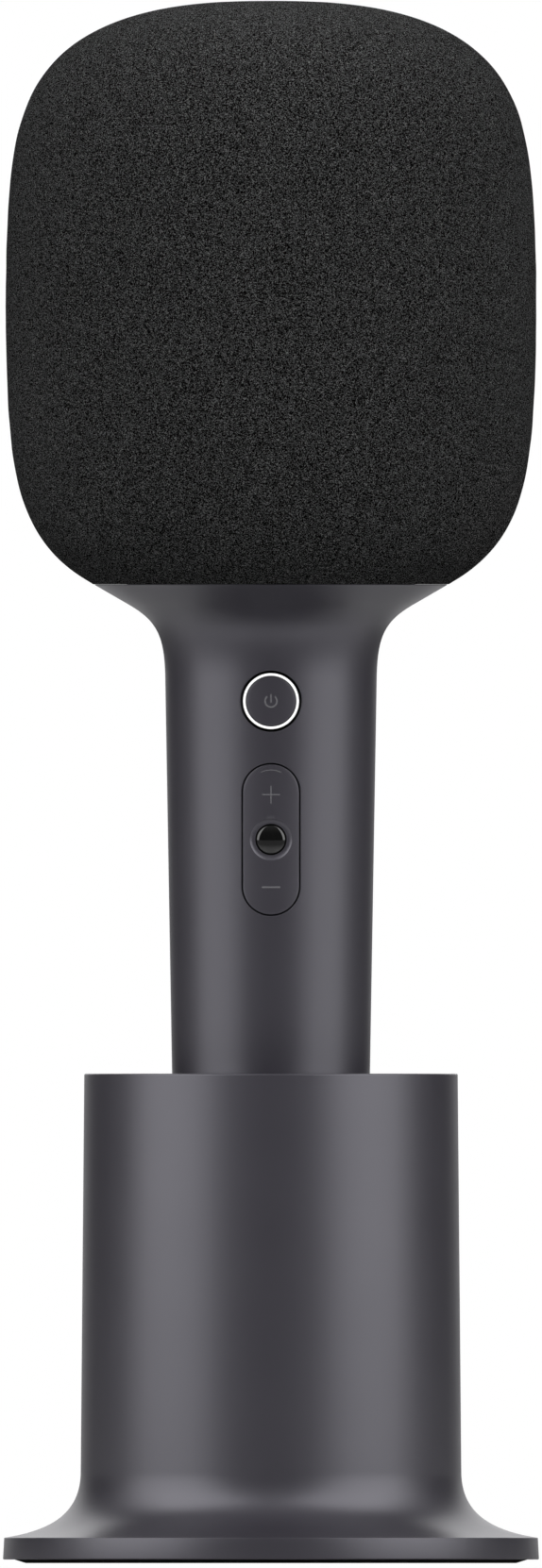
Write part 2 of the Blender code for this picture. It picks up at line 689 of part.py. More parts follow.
def make_cell_and_board(mic, looks):
    """The round cell behind the web and the main board on the standoffs in front of it."""
    nub = CELL_LENGTH - CELL_NUB_HEIGHT
    outline = [
        (0, 0),
        (CELL_RADIUS, 0),
        (CELL_RADIUS, nub),
        (CELL_NUB_RADIUS, nub),
        (CELL_NUB_RADIUS, CELL_LENGTH),
        (0, CELL_LENGTH),
    ]
    solid("battery_cell", turned(outline, MEDIUM), mic, looks["cell"], (0, CELL_Y, CELL_BOTTOM))
    outline = rectangle(BOARD_WIDTH, BOARD_LENGTH, BOARD_CORNER)
    place = (0, BOARD_BACK, BOARD_TOP - BOARD_LENGTH / 2)
    solid("main_board", raised(outline, BOARD_THICKNESS), mic, looks["board"], place, FRONT)


def make_switch(name, mic, looks, height, tip):
    """A push switch on the main board: a flat square body and a square stem that ends at a depth."""
    half = SWITCH_SIZE / 2
    shape = block((-half, -half, 0.0), (half, half, SWITCH_BODY))
    shape.faces.ensure_lookup_table()
    face = max(shape.faces, key=lambda found: found.calc_center_median().z)
    bmesh.ops.inset_individual(shape, faces=[face], thickness=(SWITCH_SIZE - SWITCH_STEM) / 2)
    made = bmesh.ops.extrude_face_region(shape, geom=[face])
    stem = [item for item in made["geom"] if isinstance(item, bmesh.types.BMVert)]
    bmesh.ops.delete(shape, geom=[face], context="FACES_ONLY")
    bmesh.ops.translate(shape, vec=(0, 0, BOARD_FACE - tip - SWITCH_BODY), verts=stem)
    solid(name, shape, mic, looks["matte"], (0, BOARD_FACE, height), FRONT)


def make_switches(mic, looks):
    """One switch behind each key. Each stem ends where its key's travel does."""
    make_switch("power_switch", mic, looks, POWER_HEIGHT, POWER_BACK + POWER_TRAVEL + PRESS_GAP)
    make_switch("effect_switch", mic, looks, ROCKER_HEIGHT, EFFECT_BACK + EFFECT_TRAVEL + PRESS_GAP)
    swing = math.sin(ROCKER_TILT) * (VOLUME_SWITCH_OFFSET + SWITCH_STEM / 2)
    for name, side in (("volume_up_switch", 1), ("volume_down_switch", -1)):
        height = ROCKER_HEIGHT + side * VOLUME_SWITCH_OFFSET
        make_switch(name, mic, looks, height, ROCKER_BACK + swing + PRESS_GAP)


def make_power_key(mic, looks, core):
    """The power key: a round cap inside a light guide, flush with the handle, and the two lamps behind."""
    reach = 2 * HANDLE_END_RADIUS
    place = (0, POWER_BACK, POWER_HEIGHT)
    cap = turned([(0, 0), (POWER_CAP_RADIUS, 0), (POWER_CAP_RADIUS, reach), (0, reach)], MEDIUM)
    combine(solid("power_cap", cap, mic, looks["satin"], place, FRONT), core, "INTERSECT")
    inside = POWER_CAP_RADIUS + LENS_GAP
    outside = inside + LIGHT_RING_WIDTH
    flange = outside + LIGHT_RING_FLANGE
    outline = [
        (inside, 0),
        (flange, 0),
        (flange, LIGHT_RING_FLANGE_THICKNESS),
        (outside, LIGHT_RING_FLANGE_THICKNESS),
        (outside, reach),
        (inside, reach),
    ]
    ring = solid("light_ring", turned(outline, MEDIUM), mic, looks["light"], place, FRONT)
    combine(ring, core, "INTERSECT")
    for name, side in (("ring_led_left", -1), ("ring_led_right", 1)):
        lamp = raised(rectangle(LED_WIDTH, LED_LENGTH, LED_CORNER), LED_HEIGHT)
        lamp_place = (side * (outside + flange) / 2, BOARD_FACE, POWER_HEIGHT)
        solid(name, lamp, mic, looks["light"], lamp_place, FRONT)


def make_volume_rocker(mic, looks, core):
    """The volume rocker: a slot-shaped key that tilts on two pins, dished and bored for the effect key."""
    place = (0, ROCKER_AXIS_Y, ROCKER_HEIGHT)
    plate = raised(upright(stadium(ROCKER_LENGTH, ROCKER_WIDTH)), 2 * HANDLE_END_RADIUS, PIN_DEPTH)
    rocker = solid("volume_rocker", plate, mic, looks["satin"], place, FRONT)
    combine(rocker, core, "INTERSECT")
    hole = EFFECT_RADIUS + KEY_GAP
    face = PIN_DEPTH + ROCKER_PLATE
    outline = [
        (0, -ROCKER_PLATE),
        (hole, -ROCKER_PLATE),
        (hole, face - DISH_DEPTH),
        (DISH_RADIUS, face),
        (DISH_RADIUS, face + ROCKER_PLATE),
        (0, face + ROCKER_PLATE),
    ]
    combine(rocker, solid("dish_tool", turned(outline, MEDIUM), mic, None, place, FRONT), "DIFFERENCE")
    outer = ROCKER_WIDTH / 2 - CHEEK_INSET
    for count, side in enumerate((-1, 1), start=1):
        near, far = sorted((side * (outer - CHEEK_THICKNESS), side * outer))
        half = CHEEK_WIDTH / 2
        cheek = block((near, -half, -PIN_RADIUS - CHEEK_INSET), (far, half, PIN_DEPTH + CHEEK_THICKNESS))
        combine(rocker, solid(f"cheek_tool_{count}", cheek, mic, None, place, FRONT), "UNION")
        root = outer - CHEEK_THICKNESS / 2
        pin = posts([(0, 0)], PIN_RADIUS, ROCKER_WIDTH / 2 + PIN_LENGTH - root)
        turn = RIGHT if side > 0 else LEFT
        pin_place = (side * root, ROCKER_AXIS_Y, ROCKER_HEIGHT)
        combine(rocker, solid(f"pin_tool_{count}", pin, mic, None, pin_place, turn), "UNION")


def make_rocker_cradle(mic, looks):
    """The frame on the main board whose two notched posts carry the rocker's pins."""
    place = (0, BOARD_FACE, ROCKER_HEIGHT)
    inner = ROCKER_WIDTH / 2 + SEAT_GAP
    outer = inner + CRADLE_POST
    window = SWITCH_SIZE + 2 * SEAT_GAP
    frame = rectangle(2 * outer, window + 2 * CRADLE_FRAME, CRADLE_CORNER)
    cradle = solid("rocker_cradle", raised(frame, CRADLE_BASE), mic, looks["matte"], place, FRONT)
    opening = block((-window / 2, -window / 2, -CRADLE_BASE), (window / 2, window / 2, 2 * CRADLE_BASE))
    combine(cradle, solid("cradle_window_tool", opening, mic, None, place, FRONT), "DIFFERENCE")
    axis = BOARD_FACE - ROCKER_AXIS_Y
    half = CRADLE_POST_WIDTH / 2
    inset = CHEEK_INSET / 2
    for count, side in enumerate((-1, 1), start=1):
        near, far = sorted((side * inner, side * (outer - inset)))
        post = block((near, -half, CRADLE_BASE / 2), (far, half, axis + PIN_RADIUS / 2))
        combine(cradle, solid(f"post_tool_{count}", post, mic, None, place, FRONT), "UNION")
    notch = posts([(0, 0)], PIN_RADIUS + SEAT_GAP, 4 * outer)
    notch_place = (-2 * outer, ROCKER_AXIS_Y, ROCKER_HEIGHT)
    combine(cradle, solid("notch_tool", notch, mic, None, notch_place, RIGHT), "DIFFERENCE")


def make_effect_button(mic, looks):
    """The domed effect key in the middle of the rocker, held in by its flange."""
    face = handle_radius(ROCKER_HEIGHT) + EFFECT_BACK
    dome_radius = (EFFECT_RADIUS**2 + EFFECT_DOME**2) / (2 * EFFECT_DOME)
    edge = math.asin(EFFECT_RADIUS / dome_radius)
    dome = arc((0, face - dome_radius), dome_radius, math.pi / 2 - edge, math.pi / 2, 3)
    flange = EFFECT_RADIUS + EFFECT_FLANGE
    outline = [
        (0, 0),
        (flange, 0),
        (flange, EFFECT_FLANGE_THICKNESS),
        (EFFECT_RADIUS, EFFECT_FLANGE_THICKNESS),
        *dome[:-1],
        (0, face),
    ]
    place = (0, EFFECT_BACK, ROCKER_HEIGHT)
    solid("effect_button", turned(outline, MEDIUM), mic, looks["gloss"], place, FRONT)


def head_share(drop):
    """Radius of the lower half of the head's rounded barrel at a depth below its widest part."""
    along = (drop / (HEAD_WIDEST + CHIN_TUCK)) ** CHIN_SQUARENESS[1]
    return (HEAD_RADIUS - HEAD_BOW * drop**2) * (1 - along) ** (1 / CHIN_SQUARENESS[0])


def crown_point(share):
    """A point of the head's upper half: a squared-off dome over a slightly bowed barrel. 0 is the top."""
    angle = math.pi / 2 * (1 - (1 - share) ** CURVE_CROWDING)
    rise = HEAD_RISE * max(math.cos(angle), 0.0) ** (2 / CROWN_SQUARENESS[1])
    radius = (HEAD_RADIUS - HEAD_BOW * rise**2) * math.sin(angle) ** (2 / CROWN_SQUARENESS[0])
    return radius, HEAD_BASE + HEAD_WIDEST + rise


def chin_point(share):
    """A point of the head's lower half, which narrows to just over the handle's collar. 1 is the edge."""
    drop = HEAD_WIDEST * (1 - (1 - share) ** CURVE_CROWDING)
    edge = COLLAR_RADIUS + HEAD_OVERHANG
    narrowest = head_share(HEAD_WIDEST)
    along = (head_share(drop) - narrowest) / (HEAD_RADIUS - narrowest)
    return edge + (HEAD_RADIUS - edge) * along, HEAD_BASE + HEAD_WIDEST - drop


def head_line(inset):
    """A fine line at a depth under the head's surface, from its lower edge up to the crown."""
    chin = [chin_point(share) for share in np.linspace(1, 0, CHIN_STEPS * FINER + 1)]
    crown = [crown_point(share) for share in np.linspace(1, 0, CROWN_STEPS * FINER + 1)]
    line = inward(chin + crown[1:], inset)
    return [*line[:-1], (0.0, line[-1][1])]


def cage_line():
    """The cage's outer line, from the skirt on the collar up to the crown."""
    line = head_line(FOAM_THICKNESS + CAGE_GAP)
    return [(line[0][0], HEAD_BASE), *line]


def make_foam_cover(mic, looks):
    """The soft windscreen over the cage, a closed shell that is open at its lower edge."""
    outside = head_line(0.0)[::FINER]
    lining = head_line(FOAM_THICKNESS)[::FINER]
    outline = [*reversed(lining), (lining[0][0], HEAD_BASE), *outside]
    solid("foam_cover", turned(outline, LARGE), mic, looks["foam"])


def make_cage(mic, looks):
    """The grille under the foam: bars and rings round open windows, a closed crown and a skirt."""
    line = list(reversed(cage_line()))
    length = line_length(line)
    corner = line_length(line[:-1])
    pitch = (length - CAGE_CROWN - CAGE_SKIRT + CAGE_RING) / CAGE_ROWS
    starts = [CAGE_CROWN + pitch * row for row in range(CAGE_ROWS)]
    stations = [station for start in starts for station in (start, start + pitch - CAGE_RING)]
    rows = resampled(line, [*stations, corner, length])
    turn = math.tau / CAGE_BARS
    bar = turn * CAGE_BAR_SHARE
    angles = [turn * count + side * bar / 2 for count in range(CAGE_BARS) for side in (-1, 1)]
    shape = bmesh.new()
    top = shape.verts.new((0.0, 0.0, line[0][1]))
    grid = [[shape.verts.new((r * math.cos(a), r * math.sin(a), z)) for a in angles] for r, z in rows]
    for column, first in enumerate(grid[0]):
        shape.faces.new((top, first, grid[0][(column + 1) % len(angles)]))
    for row, (upper, lower) in enumerate(zip(grid, grid[1:])):
        for column in range(len(angles)):
            beside = (column + 1) % len(angles)
            if row % 2 == 0 and column % 2 == 1 and row < 2 * CAGE_ROWS:
                continue
            shape.faces.new((upper[column], lower[column], lower[beside], upper[beside]))
    cage = solid("cage", shape, mic, looks["matte"])
    wall = cage.modifiers.new("wall", "SOLIDIFY")
    wall.thickness = CAGE_WALL
    wall.offset = -1.0


def make_head_floor(mic, looks):
    """The disc that closes the collar, with a spigot in the neck and a tongue that holds the sled."""
    spigot = handle_radius(SPIGOT_BOTTOM) - HANDLE_WALL - SEAT_GAP
    disc = COLLAR_RADIUS - LEDGE_WIDTH - SEAT_GAP
    flat = math.cos(math.pi / CAGE_BARS * (1 - CAGE_BAR_SHARE))
    collar = (cage_line()[0][0] - CAGE_WALL) * flat - SEAT_GAP
    outline = [
        (WIRE_HOLE_RADIUS, FLOOR_BOTTOM),
        (spigot - SPIGOT_WALL, FLOOR_BOTTOM),
        (spigot - SPIGOT_WALL, SPIGOT_BOTTOM),
        (spigot, SPIGOT_BOTTOM),
        (spigot, FLOOR_BOTTOM),
        (disc, FLOOR_BOTTOM),
        (disc, HEAD_BASE),
        (collar, HEAD_BASE),
        (collar, FLOOR_TOP),
        (WIRE_HOLE_RADIUS, FLOOR_TOP),
    ]
    floor = solid("head_floor", turned(outline, LARGE), mic, looks["matte"])
    front = WEB_BACK + SEAT_GAP
    half = TONGUE_WIDTH / 2
    low = (-half, front, FLOOR_BOTTOM - TONGUE_LENGTH)
    high = (half, front + TONGUE_THICKNESS, FLOOR_BOTTOM + TONGUE_ROOT)
    combine(floor, solid("tongue_tool", block(low, high), mic), "UNION")
    return floor


def make_sled_screws(mic, looks, sled, floor):
    """The two screws that hold the sled's web to the head floor's tongue."""
    length = SLED_WEB + SEAT_GAP + TONGUE_THICKNESS
    for count, side in enumerate((-1, 1), start=1):
        height = FLOOR_BOTTOM - SLED_SCREW_DROP
        place = (side * SLED_SCREW_OFFSET, WEB_FRONT - SCREW_GAP, height)
        shape = screw(PAN_HEAD_RADIUS, PAN_HEAD_HEIGHT, length, False)
        solid(f"sled_screw_{count}", shape, mic, looks["steel"], place, BACK)
        hole = posts([(0, 0)], SHANK_RADIUS + SCREW_GAP, 3 * length)
        start = (side * SLED_SCREW_OFFSET, WEB_FRONT - length, height)
        tool = solid(f"sled_screw_tool_{count}", hole, mic, None, start, BACK)
        combine(sled, tool, "DIFFERENCE")
        combine(floor, tool, "DIFFERENCE")


def driver_shapes():
    """Outlines of one half of the speaker drum, as (radius, distance out from the drum's middle)."""
    end = DRUM_LENGTH / 2
    back = end + SEAT_GAP
    face = back + FLANGE_THICKNESS
    bottom = back - BASKET_DEPTH
    coil_outside = COIL_RADIUS + COIL_WALL
    coil_hole = coil_outside + COIL_GAP
    magnet_top = bottom - SEAT_GAP
    magnet_bottom = magnet_top - MAGNET_LENGTH
    groove = magnet_bottom + MAGNET_BACK
    apex = face - CONE_DEPTH
    lip = face + SEAT_GAP
    roll = (SURROUND_INSIDE + ROLL_RADIUS, lip)
    mouth = BASKET_RADIUS + SEAT_GAP
    dome = apex + DUST_CAP_RISE
    dust_cap = bezier((0, dome), (COIL_RADIUS / 2, dome), (COIL_RADIUS, apex), (coil_outside, apex), 3)
    return {
        "speaker_can": [
            (DRUM_RADIUS, SEAT_GAP / 2),
            (DRUM_RADIUS, end),
            (mouth, end),
            (mouth, end - DRUM_WALL),
            (DRUM_RADIUS - DRUM_WALL, end - DRUM_WALL),
            (DRUM_RADIUS - DRUM_WALL, SEAT_GAP / 2),
        ],
        "speaker_frame": [
            (DRIVER_RADIUS, back),
            (DRIVER_RADIUS, face),
            (BASKET_INSIDE, face),
            (BASKET_BACK_RADIUS - BASKET_WALL, bottom + BASKET_WALL),
            (coil_hole, bottom + BASKET_WALL),
            (coil_hole, bottom),
            (BASKET_BACK_RADIUS, bottom),
            (BASKET_RADIUS, back),
        ],
        "speaker_magnet": [
            (0, magnet_bottom),
            (MAGNET_RADIUS, magnet_bottom),
            (MAGNET_RADIUS, magnet_top),
            (coil_hole, magnet_top),
            (coil_hole, groove),
            (COIL_RADIUS - COIL_GAP, groove),
            (COIL_RADIUS - COIL_GAP, magnet_top),
            (0, magnet_top),
        ],
        "speaker_surround": [
            *arc(roll, ROLL_RADIUS, math.pi, math.asin(ROLL_WALL / ROLL_RADIUS), 3),
            (LIP_RADIUS, lip + ROLL_WALL),
            (LIP_RADIUS, lip),
            *arc(roll, ROLL_RADIUS - ROLL_WALL, 0, math.pi, 3),
        ],
        "speaker_cone": [
            *dust_cap,
            (CONE_RADIUS, face),
            (CONE_RADIUS, face - CONE_WALL),
            (coil_outside, apex - CONE_WALL),
            (coil_outside, groove + CONE_STROKE + SEAT_GAP),
            (COIL_RADIUS, groove + CONE_STROKE + SEAT_GAP),
            (COIL_RADIUS, apex - CONE_WALL),
            (0, dome - CONE_WALL),
        ],
    }


def make_speakers(mic, looks):
    """Two equal drivers, back to back in a drum, that face left and right."""
    finishes = {
        "speaker_can": "matte",
        "speaker_frame": "matte",
        "speaker_magnet": "steel",
        "speaker_surround": "rubber",
        "speaker_cone": "cone",
    }
    for name, outline in driver_shapes().items():
        for side, turn in (("left", LEFT), ("right", RIGHT)):
            shape = turned(outline, MEDIUM)
            solid(f"{name}_{side}", shape, mic, looks[finishes[name]], (0, 0, DRUM_AXIS), turn)


def make_drum_bracket(mic, looks):
    """The bridge on the head floor that carries the drum in its saddle, arched over the wire hole."""
    bottom = FLOOR_TOP + SEAT_GAP
    half = BRACKET_FOOT / 2
    down = -math.pi / 2
    outline = [
        (-half, 0),
        *arc((0, 0), WIRE_HOLE_RADIUS, math.pi, 0, 6),
        (half, 0),
        *arc((0, DRUM_AXIS - bottom), DRUM_SEAT, down + BRACKET_HOLD, down - BRACKET_HOLD, 8),
    ]
    place = (-BRACKET_WIDTH / 2, 0, bottom)
    solid("drum_bracket", raised(outline, BRACKET_WIDTH), mic, looks["matte"], place, PROFILE)


def make_capsule(mic, looks):
    """The microphone capsule in its rubber holder, on a stand that rides on the drum."""
    ceiling = cage_line()[-1][1] - CAGE_WALL
    capsule_bottom = ceiling - CAPSULE_HEADROOM - CAPSULE_HEIGHT
    holder_bottom = capsule_bottom - SEAT_GAP - HOLDER_FLOOR
    top = holder_bottom - SEAT_GAP - DRUM_AXIS
    up = math.pi / 2
    saddle = arc((0, 0), DRUM_SEAT, up + STAND_HOLD, up - STAND_HOLD, 4)
    outline = [*saddle, (saddle[-1][0], top), (saddle[0][0], top)]
    place = (-STAND_WIDTH / 2, 0, DRUM_AXIS)
    solid("capsule_stand", raised(outline, STAND_WIDTH), mic, looks["matte"], place, PROFILE)
    bore = CAPSULE_RADIUS + SEAT_GAP
    holder = [
        (0, 0),
        (bore + HOLDER_WALL, 0),
        (bore + HOLDER_WALL, HOLDER_HEIGHT),
        (bore, HOLDER_HEIGHT),
        (bore, HOLDER_FLOOR),
        (0, HOLDER_FLOOR),
    ]
    solid("capsule_holder", turned(holder, MEDIUM), mic, looks["rubber"], (0, 0, holder_bottom))
    capsule = [
        (0, 0),
        (CAPSULE_RADIUS, 0),
        (CAPSULE_RADIUS, CAPSULE_HEIGHT - CAPSULE_EDGE),
        (CAPSULE_RADIUS - CAPSULE_EDGE, CAPSULE_HEIGHT),
        (0, CAPSULE_HEIGHT),
    ]
    solid("mic_capsule", turned(capsule, MEDIUM), mic, looks["brass"], (0, 0, capsule_bottom))


def main():
    """Builds the dock and the microphone that stands in it."""
    clear_scene()
    looks = make_finishes()
    dock = empty("dock")
    shell = make_base_shell(dock, looks)
    make_base_socket(dock, looks)
    make_ballast(dock, looks)
    make_base_plate(dock, looks, shell)
    mic = empty("microphone", (0, 0, SEAT_HEIGHT))
    outside = handle_outside()
    core = turned([(0, outside[0][1]), *outside, (0, outside[-1][1])], LARGE)
    core = solid("handle_core_tool", core, mic)
    make_handle_shell(mic, looks)
    sled = make_sled(mic, looks)
    make_end_cap(mic, looks, sled)
    make_cell_and_board(mic, looks)
    make_switches(mic, looks)
    make_power_key(mic, looks, core)
    make_volume_rocker(mic, looks, core)
    make_rocker_cradle(mic, looks)
    make_effect_button(mic, looks)
    floor = make_head_floor(mic, looks)
    make_sled_screws(mic, looks, sled, floor)
    make_cage(mic, looks)
    make_foam_cover(mic, looks)
    make_speakers(mic, looks)
    make_drum_bracket(mic, looks)
    make_capsule(mic, looks)


main()
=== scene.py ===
"""The looks of a karaoke microphone that stands in its dock.

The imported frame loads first: metres, +Z up, keys facing -Y. Each class below builds one sub-assembly as smooth
surfaces over the frame's solids, dresses it, and says which solids it stands for.
"""

import json
import logging
import math
from dataclasses import dataclass
from enum import Enum
from typing import Callable, Sequence

import bmesh
import bpy
import numpy as np
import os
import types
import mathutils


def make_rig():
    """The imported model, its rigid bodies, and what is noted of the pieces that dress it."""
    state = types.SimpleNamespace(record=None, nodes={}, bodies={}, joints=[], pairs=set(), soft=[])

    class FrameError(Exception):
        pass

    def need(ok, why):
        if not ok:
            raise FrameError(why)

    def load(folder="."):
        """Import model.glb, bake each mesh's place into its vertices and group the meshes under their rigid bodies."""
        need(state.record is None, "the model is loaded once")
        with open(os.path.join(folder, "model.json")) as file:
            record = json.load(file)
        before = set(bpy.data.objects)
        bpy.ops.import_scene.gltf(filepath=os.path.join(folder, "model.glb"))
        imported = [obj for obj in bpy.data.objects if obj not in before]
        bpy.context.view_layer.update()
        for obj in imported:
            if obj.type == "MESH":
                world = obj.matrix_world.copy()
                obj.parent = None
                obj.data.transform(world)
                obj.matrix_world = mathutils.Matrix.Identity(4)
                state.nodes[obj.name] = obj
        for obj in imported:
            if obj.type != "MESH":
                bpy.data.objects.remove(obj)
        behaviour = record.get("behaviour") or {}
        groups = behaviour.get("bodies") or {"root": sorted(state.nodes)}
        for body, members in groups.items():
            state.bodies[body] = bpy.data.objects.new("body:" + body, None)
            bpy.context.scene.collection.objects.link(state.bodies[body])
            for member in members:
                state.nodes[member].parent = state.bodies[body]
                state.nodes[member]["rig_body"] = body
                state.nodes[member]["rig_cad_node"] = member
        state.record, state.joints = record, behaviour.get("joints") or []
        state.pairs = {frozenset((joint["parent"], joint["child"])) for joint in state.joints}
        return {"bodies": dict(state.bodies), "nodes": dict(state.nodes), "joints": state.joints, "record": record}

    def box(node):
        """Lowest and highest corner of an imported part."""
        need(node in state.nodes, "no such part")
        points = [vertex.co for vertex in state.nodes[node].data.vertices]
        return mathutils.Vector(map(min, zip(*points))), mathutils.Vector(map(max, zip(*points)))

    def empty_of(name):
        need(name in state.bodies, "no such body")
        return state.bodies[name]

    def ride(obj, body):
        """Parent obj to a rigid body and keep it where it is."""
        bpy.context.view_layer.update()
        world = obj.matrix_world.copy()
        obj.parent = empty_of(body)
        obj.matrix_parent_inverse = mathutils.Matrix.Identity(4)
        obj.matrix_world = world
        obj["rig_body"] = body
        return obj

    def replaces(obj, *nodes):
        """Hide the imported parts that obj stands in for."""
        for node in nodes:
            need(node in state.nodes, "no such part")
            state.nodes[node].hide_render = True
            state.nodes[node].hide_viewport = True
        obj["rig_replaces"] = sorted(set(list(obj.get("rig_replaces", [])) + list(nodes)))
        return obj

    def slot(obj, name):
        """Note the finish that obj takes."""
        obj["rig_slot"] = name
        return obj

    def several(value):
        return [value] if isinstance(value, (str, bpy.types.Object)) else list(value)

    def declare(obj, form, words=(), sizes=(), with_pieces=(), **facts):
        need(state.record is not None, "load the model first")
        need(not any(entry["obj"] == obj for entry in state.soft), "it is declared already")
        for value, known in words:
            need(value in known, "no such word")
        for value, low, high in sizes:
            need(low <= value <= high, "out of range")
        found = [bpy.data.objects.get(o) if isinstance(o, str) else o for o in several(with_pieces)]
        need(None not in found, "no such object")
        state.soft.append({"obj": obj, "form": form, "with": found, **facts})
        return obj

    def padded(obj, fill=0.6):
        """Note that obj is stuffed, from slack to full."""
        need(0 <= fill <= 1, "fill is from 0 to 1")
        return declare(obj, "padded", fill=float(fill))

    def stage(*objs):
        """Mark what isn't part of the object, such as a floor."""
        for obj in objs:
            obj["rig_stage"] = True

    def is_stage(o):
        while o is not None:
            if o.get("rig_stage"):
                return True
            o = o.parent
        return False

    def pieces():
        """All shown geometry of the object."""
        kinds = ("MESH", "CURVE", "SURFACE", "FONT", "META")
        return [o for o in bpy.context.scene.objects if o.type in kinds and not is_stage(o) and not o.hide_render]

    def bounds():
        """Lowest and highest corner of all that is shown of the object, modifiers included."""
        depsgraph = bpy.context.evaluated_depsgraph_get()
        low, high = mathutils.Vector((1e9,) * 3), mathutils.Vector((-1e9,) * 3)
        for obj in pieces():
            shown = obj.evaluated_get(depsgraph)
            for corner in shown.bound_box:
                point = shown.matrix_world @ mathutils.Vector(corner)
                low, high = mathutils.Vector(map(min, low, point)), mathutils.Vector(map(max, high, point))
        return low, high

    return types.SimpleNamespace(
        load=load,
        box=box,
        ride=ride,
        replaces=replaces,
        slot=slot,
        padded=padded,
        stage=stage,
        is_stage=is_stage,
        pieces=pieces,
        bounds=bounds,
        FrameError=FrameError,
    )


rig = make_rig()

LOG = logging.getLogger("microphone")
FRAME_FOLDER = "."
SIZE_FILE = "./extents.json"
WELD = 1e-7
FULL_TURN = 2 * math.pi

Colour = tuple[float, float, float]
RadiusAt = Callable[[np.ndarray], np.ndarray]


# Surfaces

@dataclass(frozen=True)
class Patch:
    """A grid of points whose neighbours become quads.

    Attributes:
        points: Rows by columns by 3, in metres.
        around: Whether the last column joins the first.
    """

    points: np.ndarray
    around: bool = False

    def quads(self) -> np.ndarray:
        """Corner numbers of each quad, taken from the grid's own numbering."""
        rows, columns = self.points.shape[:2]
        numbers = np.arange(rows * columns).reshape(rows, columns)
        if self.around:
            numbers = np.column_stack([numbers, numbers[:, 0]])
        corners = (numbers[:-1, :-1], numbers[:-1, 1:], numbers[1:, 1:], numbers[1:, :-1])
        return np.stack(corners, axis=-1).reshape(-1, 4)


@dataclass(frozen=True)
class Box:
    """A frame node's lowest and highest corners."""

    low: np.ndarray
    high: np.ndarray

    @classmethod
    def of(cls, node: str) -> "Box":
        """The box of a node of the frame."""
        low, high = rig.box(node)
        return cls(np.array(low), np.array(high))

    @property
    def centre(self) -> np.ndarray:
        """The box's middle."""
        return (self.low + self.high) / 2


def turned(profile: np.ndarray, segments: int) -> Patch:
    """A line turned about Z.

    Point (k, j) is (r_k sin a_j, -r_k cos a_j, z_k) with a_j = 2 pi j / segments, so column 0 faces -Y.

    Args:
        profile: Radius and height of each point of the line.
        segments: Columns round the turn.

    Returns:
        The surface, closed round the turn.
    """
    angles = np.arange(segments) * FULL_TURN / segments
    radius, height = profile[:, :1], profile[:, 1:]
    across = radius * np.sin(angles)
    along = -radius * np.cos(angles)
    return Patch(np.stack([across, along, np.broadcast_to(height, across.shape)], axis=-1), around=True)


def rounded(corners: Sequence[tuple[float, float, float]], closed: bool = False, steps: int = 6) -> np.ndarray:
    """A line whose corners are eased by arcs tangent to both sides.

    At a corner with angle t between its sides, an arc of radius f starts f / tan(t / 2) from the corner.

    Args:
        corners: Radius, height and arc radius of each corner; an arc radius of 0 leaves the corner sharp.
        closed: Whether the line returns to its first corner.
        steps: Straight steps per arc.

    Returns:
        Points of the line, with the first repeated at the end if it is closed.
    """
    places = np.array([corner[:2] for corner in corners])
    line = []
    for count, (_, _, ease) in enumerate(corners):
        place = places[count]
        ends = not closed and count in (0, len(corners) - 1)
        if ease == 0 or ends:
            line.append(place[None])
            continue
        sides = places[[count - 1, (count + 1) % len(corners)]] - place
        lengths = np.linalg.norm(sides, axis=1)
        sides /= lengths[:, None]
        half = math.acos(np.clip(sides[0] @ sides[1], -1, 1)) / 2
        reach = min(ease / math.tan(half), 0.49 * lengths.min())
        radius = reach * math.tan(half)
        middle = place + (sides[0] + sides[1]) / np.linalg.norm(sides[0] + sides[1]) * radius / math.sin(half)
        start, end = place + sides * reach - middle
        sweep = math.acos(np.clip(start @ end / radius**2, -1, 1))
        share = np.linspace(0, 1, steps + 1)[:, None]
        line.append(middle + (np.sin((1 - share) * sweep) * start + np.sin(share * sweep) * end) / math.sin(sweep))
    points = np.concatenate(line)
    return np.concatenate([points, points[:1]]) if closed else points


def bezier(start: np.ndarray, first: np.ndarray, second: np.ndarray, end: np.ndarray, steps: int) -> np.ndarray:
    """A cubic curve: (1-t)^3 start + 3 t (1-t)^2 first + 3 t^2 (1-t) second + t^3 end.

    Args:
        start: Where the curve starts.
        first: The point it sets off towards.
        second: The point it arrives from.
        end: Where the curve ends.
        steps: Straight steps.

    Returns:
        Points of the curve, both ends included.
    """
    share = np.linspace(0, 1, steps + 1)[:, None]
    left = 1 - share
    return left**3 * start + 3 * share * left**2 * first + 3 * share**2 * left * second + share**3 * end


def inward(line: np.ndarray, distance: float) -> np.ndarray:
    """A line moved to its left-hand side by a distance, along the normal of its central differences.

    Args:
        line: Radius and height of each point, going up.
        distance: How far to move it.

    Returns:
        The moved line, point for point.
    """
    along = np.gradient(line, axis=0)
    along /= np.linalg.norm(along, axis=1)[:, None]
    return line + distance * np.stack([-along[:, 1], along[:, 0]], axis=-1)


def facing_front(patch: Patch, centre: np.ndarray) -> Patch:
    """A patch made about Z, laid down so that its +Z faces -Y, about a centre."""
    across, up, out = np.moveaxis(patch.points, -1, 0)
    return Patch(np.stack([across, -out, up], axis=-1) + centre, patch.around)


